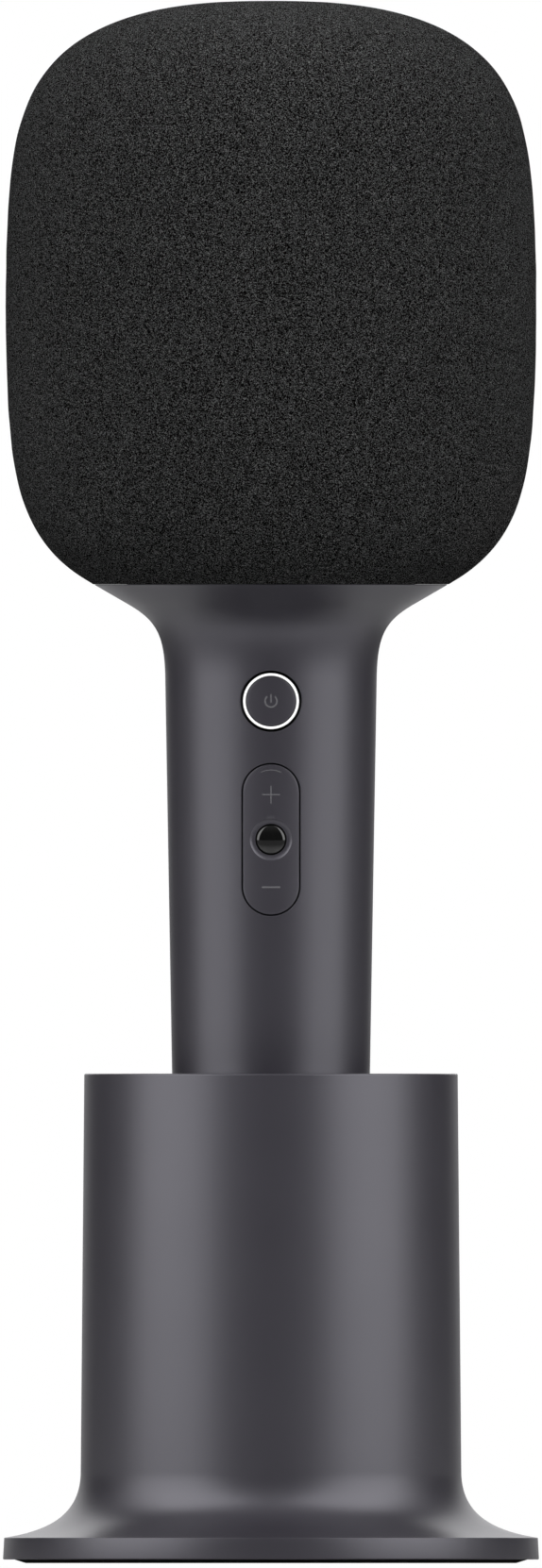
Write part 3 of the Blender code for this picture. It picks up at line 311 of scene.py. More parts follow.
def made(name: str, patches: Sequence[Patch], crease: float = 38.0) -> bpy.types.Object:
    """One mesh object from patches, with seams welded, poles closed and faces turned outwards.

    Args:
        name: The object's name.
        patches: Grids that meet edge to edge.
        crease: Angle in degrees past which an edge stays sharp.

    Returns:
        The object, at the origin.
    """
    sizes = [patch.points.size // 3 for patch in patches]
    starts = np.concatenate([[0], np.cumsum(sizes)[:-1]])
    points = np.concatenate([patch.points.reshape(-1, 3) for patch in patches])
    quads = np.concatenate([patch.quads() + start for patch, start in zip(patches, starts)])
    mesh = bpy.data.meshes.new(name)
    mesh.vertices.add(len(points))
    mesh.vertices.foreach_set("co", points.ravel())
    mesh.loops.add(quads.size)
    mesh.loops.foreach_set("vertex_index", quads.ravel())
    mesh.polygons.add(len(quads))
    mesh.polygons.foreach_set("loop_start", np.arange(0, quads.size, 4))
    mesh.update(calc_edges=True)
    piece = bpy.data.objects.new(name, mesh)
    bpy.context.scene.collection.objects.link(piece)
    settled(piece, crease)
    return piece


def settled(piece: bpy.types.Object, crease: float) -> None:
    """Welds a piece's seams, turns its faces outwards and shades it smooth up to a crease angle in degrees."""
    shape = bmesh.new()
    shape.from_mesh(piece.data)
    bmesh.ops.remove_doubles(shape, verts=shape.verts, dist=WELD)
    bmesh.ops.dissolve_degenerate(shape, edges=shape.edges, dist=WELD)
    bmesh.ops.recalc_face_normals(shape, faces=shape.faces)
    shape.to_mesh(piece.data)
    shape.free()
    piece.data.shade_smooth()
    piece.data.set_sharp_from_angle(angle=math.radians(crease))


def carved(piece: bpy.types.Object, cutters: Sequence[bpy.types.Object], crease: float = 38.0) -> None:
    """Takes cutters away from a piece and removes them.

    Args:
        piece: The piece to cut.
        cutters: Closed meshes.
        crease: Angle in degrees past which an edge stays sharp.
    """
    for cutter in cutters:
        cut = piece.modifiers.new(cutter.name, "BOOLEAN")
        cut.operation = "DIFFERENCE"
        cut.solver = "EXACT"
        cut.object = cutter
    bpy.context.view_layer.update()
    shape = piece.evaluated_get(bpy.context.evaluated_depsgraph_get())
    mesh = bpy.data.meshes.new_from_object(shape)
    piece.modifiers.clear()
    piece.data = mesh
    for cutter in cutters:
        bpy.data.objects.remove(cutter)
    settled(piece, crease)


# Finishes

class Grain(Enum):
    """Patterns that a surface carries."""

    SPRAYED = "sprayed coat"
    MOULDED = "moulded skin"
    FOAMED = "open foam"
    BRUSHED = "drawn metal"
    POLISHED = "polished skin"


@dataclass(frozen=True)
class Finish:
    """How a material looks.

    Attributes:
        name: The material's name.
        slot: The record's slot it belongs to.
        colour: Base colour, linear.
        roughness: Mean roughness.
        grain: The pattern it carries.
        pitch: Size of one grain, in metres.
        depth: Height of the grain in the bump, in metres.
        mottle: Share by which the grain changes the colour.
        smudge: How far broad patches change the roughness.
        metallic: 1 for bare metal.
        specular: Specular level.
        coat: Weight of a clear coat.
        scatter: Roughness of the diffuse share, 1 for open pores.
        glow: Strength of its own light.
        tint: Colour of its highlights.
    """

    name: str
    slot: str
    colour: Colour
    roughness: float
    grain: Grain
    pitch: float
    depth: float
    mottle: float
    smudge: float
    metallic: float = 0.0
    specular: float = 0.5
    coat: float = 0.0
    scatter: float = 0.0
    glow: float = 0.0
    tint: Colour = (1.0, 1.0, 1.0)


SATIN = Finish(
    "satin_coat", "satin", (0.0130, 0.0117, 0.0159), 0.41, Grain.SPRAYED, 0.00022, 0.000004, 0.10, 0.03,
    specular=1.0, tint=(0.925, 0.91, 1.0)
)
# Light grey print of the signs; the same colour paints a highlight on the rocker's arched ridge.
PRINT_AND_RIDGE_HIGHLIGHT = Finish("sign_print_and_ridge_highlight", "satin", (0.075, 0.074, 0.080), 0.55, Grain.SPRAYED, 0.00018, 0.000003, 0.10, 0.03)
FOAM = Finish(
    "black_foam", "foam", (0.0208, 0.0208, 0.0208), 0.95, Grain.FOAMED, 0.00011, 0.00003, 1.0, 0.02,
    specular=0.0, scatter=1.0
)
GLOSS = Finish(
    "gloss_black", "gloss", (0.002, 0.002, 0.002), 0.03, Grain.POLISHED, 0.0008, 0.0, 0.05, 0.01, specular=0.70
)
LIGHT = Finish("light_guide", "light", (0.40, 0.40, 0.40), 0.35, Grain.POLISHED, 0.0006, 0.0, 0.03, 0.05, glow=1.7)
RUBBER = Finish("soft_rubber", "rubber", (0.030, 0.030, 0.032), 0.75, Grain.MOULDED, 0.00045, 0.000012, 0.15, 0.08)
MATTE = Finish("matte_black", "matte", (0.025, 0.025, 0.027), 0.6, Grain.MOULDED, 0.00035, 0.000008, 0.12, 0.06)
STEEL = Finish("plated_steel", "steel", (0.55, 0.55, 0.57), 0.32, Grain.BRUSHED, 0.0003, 0.000004, 0.12, 0.1, 1.0)
BOARD = Finish("solder_mask", "board", (0.012, 0.013, 0.014), 0.4, Grain.MOULDED, 0.0006, 0.000004, 0.2, 0.05)
CELL = Finish("shrink_wrap", "cell", (0.020, 0.120, 0.260), 0.35, Grain.POLISHED, 0.002, 0.00001, 0.08, 0.06)
CONE = Finish("pressed_paper", "cone", (0.030, 0.030, 0.032), 0.9, Grain.MOULDED, 0.0005, 0.00002, 0.3, 0.05)
BRASS = Finish("plain_brass", "brass", (0.70, 0.52, 0.22), 0.3, Grain.BRUSHED, 0.0004, 0.000004, 0.12, 0.1, 1.0)
FINISHES = (SATIN, PRINT_AND_RIDGE_HIGHLIGHT, FOAM, GLOSS, LIGHT, RUBBER, MATTE, STEEL, BOARD, CELL, CONE, BRASS)


@dataclass(frozen=True)
class Sheet:
    """A node tree with short calls to fill it."""

    tree: bpy.types.NodeTree

    def add(self, kind: str, inputs: dict[str | int, object], **settings: object) -> bpy.types.Node:
        """Adds a node.

        Args:
            kind: Blender's name of the node.
            inputs: Value or socket for each named or numbered input.
            settings: The node's own properties.

        Returns:
            The node.
        """
        node = self.tree.nodes.new(kind)
        for key, value in settings.items():
            setattr(node, key, value)
        for key, value in inputs.items():
            if isinstance(value, bpy.types.NodeSocket):
                self.tree.links.new(value, node.inputs[key])
            else:
                node.inputs[key].default_value = value
        return node

    def sum(self, operation: str, *values: object) -> bpy.types.NodeSocket:
        """The result of a Math node."""
        return self.add("ShaderNodeMath", dict(enumerate(values)), operation=operation).outputs[0]

    def between(self, value: object, start: float, end: float, low: object, high: object) -> bpy.types.NodeSocket:
        """A value carried smoothly from one range to another."""
        inputs = {"Value": value, "From Min": start, "From Max": end, "To Min": low, "To Max": high}
        node = self.add("ShaderNodeMapRange", inputs, interpolation_type="SMOOTHSTEP")
        return node.outputs["Result"]

    def noise(self, place: object, scale: object, detail: float = 2.0) -> bpy.types.NodeSocket:
        """The value of a noise texture."""
        inputs = {"Vector": place, "Scale": scale, "Detail": detail, "Roughness": 0.55}
        return self.add("ShaderNodeTexNoise", inputs, noise_dimensions="3D").outputs["Fac"]

    def cells(self, place: object, scale: object, feature: str, output: str = "Distance") -> bpy.types.NodeSocket:
        """An output of a Voronoi texture."""
        inputs = {"Vector": place, "Scale": scale, "Randomness": 1.0}
        node = self.add("ShaderNodeTexVoronoi", inputs, voronoi_dimensions="3D", feature=feature)
        return node.outputs[output]


class Workshop:
    """Makes each grain's node group and each finish's material once, and hands them out."""

    def __init__(self) -> None:
        """Starts with an empty store."""
        self.groups: dict[Grain, bpy.types.NodeTree] = {}
        self.materials: dict[str, bpy.types.Material] = {}

    def pattern(self, grain: Grain, sheet: Sheet, place: object, scale: object) -> bpy.types.NodeSocket:
        """The grain's own pattern, from 0 in its hollows to 1 on its tops.

        Sprayed coats are fine noise; moulded skins are soft cells; foam is pores of chance depth, 3 c^5 for an
        even c, so that most are dark; drawn metal is noise stretched along Z; polished skins are rare specks.

        Args:
            grain: Which pattern.
            sheet: The group being filled.
            place: Socket with the place on the object.
            scale: Socket with grains per metre.

        Returns:
            The socket with the pattern.
        """
        if grain is Grain.SPRAYED:
            return sheet.noise(place, scale)
        if grain is Grain.MOULDED:
            return sheet.between(sheet.cells(place, scale, "SMOOTH_F1"), 0.1, 0.7, 0.0, 1.0)
        if grain is Grain.BRUSHED:
            stretch = sheet.add("ShaderNodeVectorMath", {0: place, 1: (1.0, 1.0, 0.05)}, operation="MULTIPLY")
            return sheet.noise(stretch.outputs["Vector"], scale, 4.0)
        if grain is Grain.POLISHED:
            return sheet.between(sheet.noise(place, scale), 0.35, 0.75, 1.0, 0.0)
        chance = sheet.add("ShaderNodeSeparateColor", {"Color": sheet.cells(place, scale, "F1", "Color")}).outputs["Red"]
        return sheet.sum("MULTIPLY", sheet.sum("POWER", chance, 5.0), 3.0)

    def group(self, grain: Grain) -> bpy.types.NodeTree:
        """The node group of a grain.

        The colour is scaled by 1 + mottle (2 p - 1) for the pattern p, and the roughness moves by smudge over
        patches of about 15 mm.

        Args:
            grain: Which pattern.

        Returns:
            The group, with colour, roughness and height outputs.
        """
        if grain in self.groups:
            return self.groups[grain]
        tree = bpy.data.node_groups.new(grain.value.replace(" ", "_"), "ShaderNodeTree")
        for name, kind in (("Scale", "Float"), ("Colour", "Color"), ("Mottle", "Float"),
                           ("Roughness", "Float"), ("Smudge", "Float")):
            tree.interface.new_socket(name, in_out="INPUT", socket_type=f"NodeSocket{kind}")
        for name, kind in (("Colour", "Color"), ("Roughness", "Float"), ("Height", "Float")):
            tree.interface.new_socket(name, in_out="OUTPUT", socket_type=f"NodeSocket{kind}")
        sheet = Sheet(tree)
        given = sheet.add("NodeGroupInput", {}).outputs
        place = sheet.add("ShaderNodeTexCoord", {}).outputs["Object"]
        pattern = self.pattern(grain, sheet, place, given["Scale"])
        swing = sheet.sum("MULTIPLY_ADD", pattern, 2.0, -1.0)
        share = sheet.sum("MULTIPLY_ADD", swing, given["Mottle"], 1.0)
        scaled = sheet.add("ShaderNodeVectorMath", {0: given["Colour"], "Scale": share}, operation="SCALE")
        patches = sheet.sum("MULTIPLY_ADD", sheet.noise(place, 65.0, 3.0), 2.0, -1.0)
        roughness = sheet.sum("MULTIPLY_ADD", patches, given["Smudge"], given["Roughness"])
        results = {"Colour": scaled.outputs["Vector"], "Roughness": roughness, "Height": pattern}
        sheet.add("NodeGroupOutput", results)
        self.groups[grain] = tree
        return tree

    def material(self, finish: Finish) -> bpy.types.Material:
        """The material of a finish.

        Args:
            finish: What it looks like.

        Returns:
            The material, made on the first call.
        """
        if finish.name in self.materials:
            return self.materials[finish.name]
        material = bpy.data.materials.new(finish.name)
        material.use_nodes = True
        material.diffuse_color = (*finish.colour, 1.0)
        material.node_tree.nodes.clear()
        sheet = Sheet(material.node_tree)
        inputs = {"Scale": 1 / finish.pitch, "Colour": (*finish.colour, 1.0), "Mottle": finish.mottle,
                  "Roughness": finish.roughness, "Smudge": finish.smudge}
        grain = sheet.tree.nodes.new("ShaderNodeGroup")
        grain.node_tree = self.group(finish.grain)
        for name, value in inputs.items():
            grain.inputs[name].default_value = value
        shader = sheet.add("ShaderNodeBsdfPrincipled", {
            "Base Color": grain.outputs["Colour"],
            "Roughness": grain.outputs["Roughness"],
            "Metallic": finish.metallic,
            "Specular IOR Level": finish.specular,
            "Specular Tint": (*finish.tint, 1.0),
            "Coat Weight": finish.coat,
            "Coat Roughness": 0.05,
            "Diffuse Roughness": finish.scatter,
        })
        if finish.depth:
            bump = sheet.add("ShaderNodeBump", {"Distance": finish.depth, "Height": grain.outputs["Height"]})
            sheet.tree.links.new(bump.outputs["Normal"], shader.inputs["Normal"])
        if finish.glow:
            sheet.tree.links.new(grain.outputs["Colour"], shader.inputs["Emission Color"])
            shader.inputs["Emission Strength"].default_value = finish.glow
        sheet.add("ShaderNodeOutputMaterial", {"Surface": shader.outputs["BSDF"]})
        self.materials[finish.name] = material
        return material

    def dress(self, piece: bpy.types.Object, finish: Finish, body: str, *nodes: str) -> None:
        """Gives a piece its material, its body and the solids that it stands for.

        Args:
            piece: The piece.
            finish: Its finish.
            body: The body that it rides on.
            nodes: The solids that it replaces.
        """
        piece.data.materials.clear()
        piece.data.materials.append(self.material(finish))
        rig.ride(piece, body)
        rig.slot(piece, finish.slot)
        if nodes:
            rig.replaces(piece, *nodes)
        LOG.info("%s: %d faces, %s", piece.name, len(piece.data.polygons), finish.name)

    def dress_solids(self, frame: dict) -> None:
        """Gives every solid of the frame the material of its slot."""
        finishes = {finish.slot: finish for finish in reversed(FINISHES)}
        for part in frame["record"]["subparts"]:
            solid = frame["nodes"][part["node"]]
            solid.data.materials.clear()
            solid.data.materials.append(self.material(finishes[part["material_slot"]]))


# Dock

@dataclass(frozen=True)
class Dock:
    """The weighted dock: shell, socket, seat pad and foot pad. Sizes are those of the solids, in metres."""

    shop: Workshop
    top_radius: float = 0.03244
    draft: float = 0.00897
    wall: float = 0.0024
    flare_start: float = 0.0160
    flare_drop: float = 0.0075
    flare_reach: float = 0.0081
    flare_angle: float = math.radians(9.0)
    rim_draft: float = 0.0002
    rim_top: float = 0.0044
    rim_wall: float = 0.00166
    foot_drop: float = 0.00062
    foot_bevel: float = 0.0020
    edge: float = 0.0003
    segments: int = 256
    flare_steps: int = 40

    def flare(self, rim_radius: float, height: float) -> np.ndarray:
        """The flare's line, from the rim's upper edge up to where the straight wall starts."""
        start = np.array([rim_radius - self.rim_draft, self.rim_top])
        end = np.array([self.top_radius + self.draft * (height - self.flare_start), self.flare_start])
        first = start + self.flare_reach * np.array([-math.cos(self.flare_angle), math.sin(self.flare_angle)])
        return bezier(start, first, end - (0, self.flare_drop), end, self.flare_steps)

    def shell(self) -> None:
        """The shell: one closed line turned about Z, over the top, down the wall, out to the rim and back inside."""
        box, socket = Box.of("base_shell"), Box.of("base_socket")
        height, rim = box.high[2], box.high[0]
        hole = socket.high[0] - 0.0018 + 0.00003
        roof = height - self.wall
        groove = rim - self.rim_wall
        ledge = socket.low[2]
        flare = self.flare(rim, height)
        lining = inward(flare[::-1], -self.wall)
        lining = lining[(lining[:, 1] > ledge + self.edge) & (lining[:, 0] < groove)]
        outer = [(hole, roof, 0.0), (hole, height, self.edge), (self.top_radius, height, self.edge)]
        outer += [(r, z, 0.0) for r, z in flare[:0:-1]]
        outer += [(*flare[0], 0.00012), (rim, self.foot_drop, 0.0002), (groove, self.foot_drop, 0.0)]
        inner = [(groove, ledge, 0.0), (lining[-1][0], ledge, 0.0)]
        inner += [(r, z, 0.0) for r, z in lining[::-1]]
        inner += [(self.top_radius - self.wall, roof, 0.0)]
        profile = rounded(outer + inner, closed=True)
        self.shop.dress(made("dock_shell", [turned(profile, self.segments)]), SATIN, "dock", "base_shell")

    def socket(self) -> None:
        """The tapered cup, with an eased mouth."""
        box = Box.of("base_socket")
        top, bottom = box.high[2], box.low[2]
        pad = Box.of("seat_pad")
        floor = pad.low[2] - 0.0003
        outer = box.high[0]
        mouth = outer - 0.0018
        foot = mouth - 0.01722 * (top - floor)
        corners = [(0, floor - 0.002, 0.0), (foot, floor - 0.002, 0.0), (foot, bottom, 0.0)]
        corners += [(foot + 0.0018, bottom, 0.0), (outer, top, 0.0003), (mouth, top, 0.0006)]
        corners += [(foot, floor, 0.0006), (0, floor, 0.0)]
        piece = made("dock_socket", [turned(rounded(corners), self.segments)])
        self.shop.dress(piece, MATTE, "dock", "base_socket")

    def pads(self) -> None:
        """The seat pad, with an eased and lightly grooved face, and the bevelled foot pad."""
        box = Box.of("seat_pad")
        radius, low, high = box.high[0], box.low[2], box.high[2]
        grooves = np.linspace(0.25, 0.8, 4) * radius
        corners = [(0, low, 0.0), (radius, low, 0.0), (radius, high, 0.0004)]
        for middle in grooves[::-1]:
            corners += [(middle + 0.0005, high, 0.0002), (middle + 0.0003, high - 0.0003, 0.0001)]
            corners += [(middle - 0.0003, high - 0.0003, 0.0001), (middle - 0.0005, high, 0.0002)]
        corners += [(0, high, 0.0)]
        self.shop.dress(made("dock_seat_pad", [turned(rounded(corners), 128)]), RUBBER, "dock", "seat_pad")
        box = Box.of("foot_pad")
        radius, low, high = box.high[0], box.low[2], box.high[2]
        bevel = min(self.foot_bevel, radius)
        side = low + self.foot_drop
        corners = [(0, high, 0.0), (radius, high, 0.0), (radius, side, 0.0002), (radius - bevel, low, 0.0004), (0, low, 0.0)]
        piece = made("dock_foot_pad", [turned(rounded(corners), self.segments)])
        self.shop.dress(piece, RUBBER, "dock", "foot_pad")

    def build(self) -> None:
        """Builds every piece of the dock."""
        self.shell()
        self.socket()
        self.pads()


# Handle

@dataclass(frozen=True)
class Opening:
    """A round or slot-shaped opening on the keys' line.

    Attributes:
        height: Its centre's height.
        radius: Half its width.
        straight: Half the length of its straight sides.
    """

    height: float
    radius: float
    straight: float = 0.0

    def reach(self, angles: np.ndarray, grow: float = 0.0) -> np.ndarray:
        """Distance from the centre to the outline in each direction.

        With half width w and straight half length h it is w / |cos a| along the straight sides, and
        h |sin a| + sqrt(w^2 - h^2 cos^2 a) round the ends.

        Args:
            angles: Directions, from +X towards +Z.
            grow: How far outside the outline.

        Returns:
            The distances.
        """
        width = self.radius + grow
        side = width / np.maximum(np.abs(np.cos(angles)), 1e-9)
        root = np.sqrt(np.maximum(width**2 - (self.straight * np.cos(angles)) ** 2, 0))
        end = self.straight * np.abs(np.sin(angles)) + root
        return np.where(side * np.abs(np.sin(angles)) <= self.straight, side, end)

    def outline(self, angles: np.ndarray, grow: float = 0.0) -> np.ndarray:
        """The outline's points, X and Z, in each direction."""
        spokes = np.stack([np.cos(angles), np.sin(angles)], axis=-1)
        return self.reach(angles, grow)[:, None] * spokes + (0, self.height)


@dataclass(frozen=True)
class HandleForm:
    """The handle's form: a tapered tube whose neck sweeps out into a cone.

    Attributes:
        seat: Height of the microphone's lower end.
        top: Height of the collar's upper edge.
        collar: Radius of the collar's upper edge.
        end_radius: Radius at the lower end.
        taper: How fast the radius grows upwards.
        angle: The cone's slope.
        neck_down: Where the sweep starts, below the corner of tube and cone.
        neck_out: Where it ends, along the cone.
        neck_pull: How far it pulls into the corner.
    """

    seat: float
    top: float
    collar: float
    end_radius: float = 0.01596
    taper: float = 0.01722
    angle: float = math.radians(30.07)
    neck_down: float = 0.0092
    neck_out: float = 0.0072
    neck_pull: float = 0.8

    @classmethod
    def from_frame(cls) -> "HandleForm":
        """The form at the frame's heights."""
        shell = Box.of("handle_shell")
        return cls(Box.of("end_cap").low[2], shell.high[2], shell.high[0])

    def line(self) -> np.ndarray:
        """The outer line, finely stepped: the tube, the sweep between tube and cone, and the cone."""
        slope = math.tan(self.angle)
        length = self.top - self.seat
        corner_height = (length - (self.collar - self.end_radius) * slope) / (1 - self.taper * slope)
        heights = np.array([0, corner_height - self.neck_down, corner_height])
        low, start, corner = np.stack([self.end_radius + self.taper * heights, heights], axis=-1)
        end = corner + self.neck_out * np.array([math.cos(self.angle), math.sin(self.angle)])
        pulls = [point + self.neck_pull * (corner - point) for point in (start, end)]
        neck = bezier(start, *pulls, end, 120)
        line = np.concatenate([low[None], neck, [(self.collar, length)]])
        return line + (0, self.seat)

    def radius(self, heights: np.ndarray, inset: float = 0.0) -> np.ndarray:
        """Radius at each height, read along the line or along its copy under the surface.

        Args:
            heights: Heights in the frame.
            inset: Depth under the surface.

        Returns:
            The radii.
        """
        line = self.line()
        line = inward(line, inset) if inset else line
        return np.interp(heights, line[:, 1], line[:, 0])

    def front(self, flat: np.ndarray, sink: np.ndarray | float = 0.0, inset: float = 0.0) -> np.ndarray:
        """Points on the handle's front: (x, -sqrt(r(z)^2 - x^2) + sink, z).

        Args:
            flat: X and Z of each point.
            sink: How far behind the surface.
            inset: Depth of the surface that is used, under the outer one.

        Returns:
            The points.
        """
        across, height = flat[..., 0], flat[..., 1]
        back = -np.sqrt(np.maximum(self.radius(height, inset) ** 2 - across**2, 0)) + sink
        return np.stack([across, back, height], axis=-1)


@dataclass(frozen=True)
class Handle:
    """The handle shell, the end cap, its screws and the charging socket. Sizes in metres."""

    shop: Workshop
    form: HandleForm
    power: Opening
    slot: Opening
    wall: float = 0.0020
    edge: float = 0.00012
    columns: int = 240
    window: int = 18
    ledge_width: float = 0.0055
    ledge_depth: float = 0.0020

    def band(self, heights: np.ndarray, angles: np.ndarray, inset: float, around: bool) -> Patch:
        """A stretch of the wall: the handle's line turned about Z.

        Args:
            heights: Rows.
            angles: Columns, from -Y.
            inset: Depth under the outer surface.
            around: Whether it closes on itself.

        Returns:
            The stretch.
        """
        radius = self.form.radius(heights, inset)[:, None]
        across, along = radius * np.sin(angles), -radius * np.cos(angles)
        return Patch(np.stack([across, along, np.broadcast_to(heights[:, None], across.shape)], axis=-1), around)

    def frame_line(self, heights: np.ndarray, angles: np.ndarray, inset: float) -> np.ndarray:
        """The X and Z of a window's own border, anticlockwise from its lower left corner."""
        radius = self.form.radius(heights, inset)
        left, right = np.sin(angles[0]), np.sin(angles[-1])
        lower = np.stack([radius[0] * np.sin(angles), np.full(len(angles), heights[0])], axis=-1)
        upper = np.stack([radius[-1] * np.sin(angles), np.full(len(angles), heights[-1])], axis=-1)
        rise = np.stack([radius * right, heights], axis=-1)
        fall = np.stack([radius * left, heights], axis=-1)
        return np.concatenate([lower[:-1], rise[:-1], upper[:0:-1], fall[:0:-1]])

    def opened(self, opening: Opening, heights: np.ndarray, angles: np.ndarray) -> list[Patch]:
        """The wall round an opening: rings that run from a window's border to the outline, over an eased edge,
        through the wall, and back out to the border of the lining.

        Args:
            opening: The opening.
            heights: The window's rows.
            angles: The window's columns.

        Returns:
            The outer face with its edge and wall, and the lining.
        """
        border = self.frame_line(heights, angles, 0.0)
        spokes = np.arctan2(border[:, 1] - opening.height, border[:, 0])
        shares = (1 - np.linspace(0, 1, 12)) ** 1.5
        start = opening.outline(spokes, self.edge)
        rings = [self.form.front(start + share * (border - start)) for share in shares]
        for turn in np.linspace(0, math.pi / 2, 5)[1:]:
            grow, sink = self.edge * (1 - math.sin(turn)), self.edge * (1 - math.cos(turn))
            rings.append(self.form.front(opening.outline(spokes, grow), sink))
        hole = opening.outline(spokes)
        rings.append(self.form.front(hole, 0.0, self.wall))
        lining = self.frame_line(heights, angles, self.wall)
        back = [self.form.front(hole + share * (lining - hole), 0.0, self.wall) for share in (0.0, 0.3, 0.65, 1.0)]
        return [Patch(np.stack(rings), around=True), Patch(np.stack(back), around=True)]

    def shell(self) -> None:
        """The handle shell, closed: outer wall, lining, lower rim, and the collar's ledge, round two openings."""
        low, top = Box.of("handle_shell").low[2], self.form.top
        ledge = top - self.ledge_depth
        slot_low = self.slot.height - self.slot.straight - self.slot.radius
        slot_high = self.slot.height + self.slot.straight + self.slot.radius
        power_low, power_high = self.power.height - self.power.radius, self.power.height + self.power.radius
        middle = (slot_high + power_low) / 2
        rows = [
            np.linspace(low + self.edge, slot_low - 0.003, 24),
            np.linspace(slot_low - 0.003, middle, 56),
            np.linspace(middle, power_high + 0.003, 28),
        ]
        rim = 0.0003
        above = np.linspace(power_high + 0.003, top - rim, 40)
        inside = np.linspace(power_high + 0.003, ledge, 24)
        turn = np.arange(self.columns) * FULL_TURN / self.columns
        front = np.arange(-self.window, self.window + 1) * FULL_TURN / self.columns
        behind = np.arange(self.window, self.columns - self.window + 1) * FULL_TURN / self.columns
        patches = []
        for inset, upper in ((0.0, above), (self.wall, inside)):
            patches += [self.band(rows[0], turn, inset, True), self.band(upper, turn, inset, True)]
            patches += [self.band(levels, behind, inset, False) for levels in rows[1:]]
        patches += self.opened(self.slot, rows[1], front)
        patches += self.opened(self.power, rows[2], front)
        start, lining = rows[0][0], self.form.radius(rows[0][:1], self.wall)[0]
        lower = rounded([
            (self.form.radius(rows[0][:1])[0], start, 0.0),
            (self.form.radius(np.array([low]))[0], low, self.edge / 2),
            (lining, low, 0.0),
            (lining, start, 0.0),
        ])
        mouth = self.form.collar - self.ledge_width
        upper = rounded([
            (self.form.radius(above[-1:])[0], above[-1], 0.0),
            (self.form.collar, top, 0.00008),
            (mouth, top, 0.0),
            (mouth, ledge, 0.0),
            (self.form.radius(inside[-1:], self.wall)[0], ledge, 0.0),
        ])
        patches += [turned(lower, self.columns), turned(upper, self.columns)]
        self.shop.dress(made("handle_body", patches), SATIN, "microphone", "handle_shell")

    def build(self) -> None:
        """Builds every piece of the handle."""
        self.shell()
        EndCap(self.shop, self.form).build()


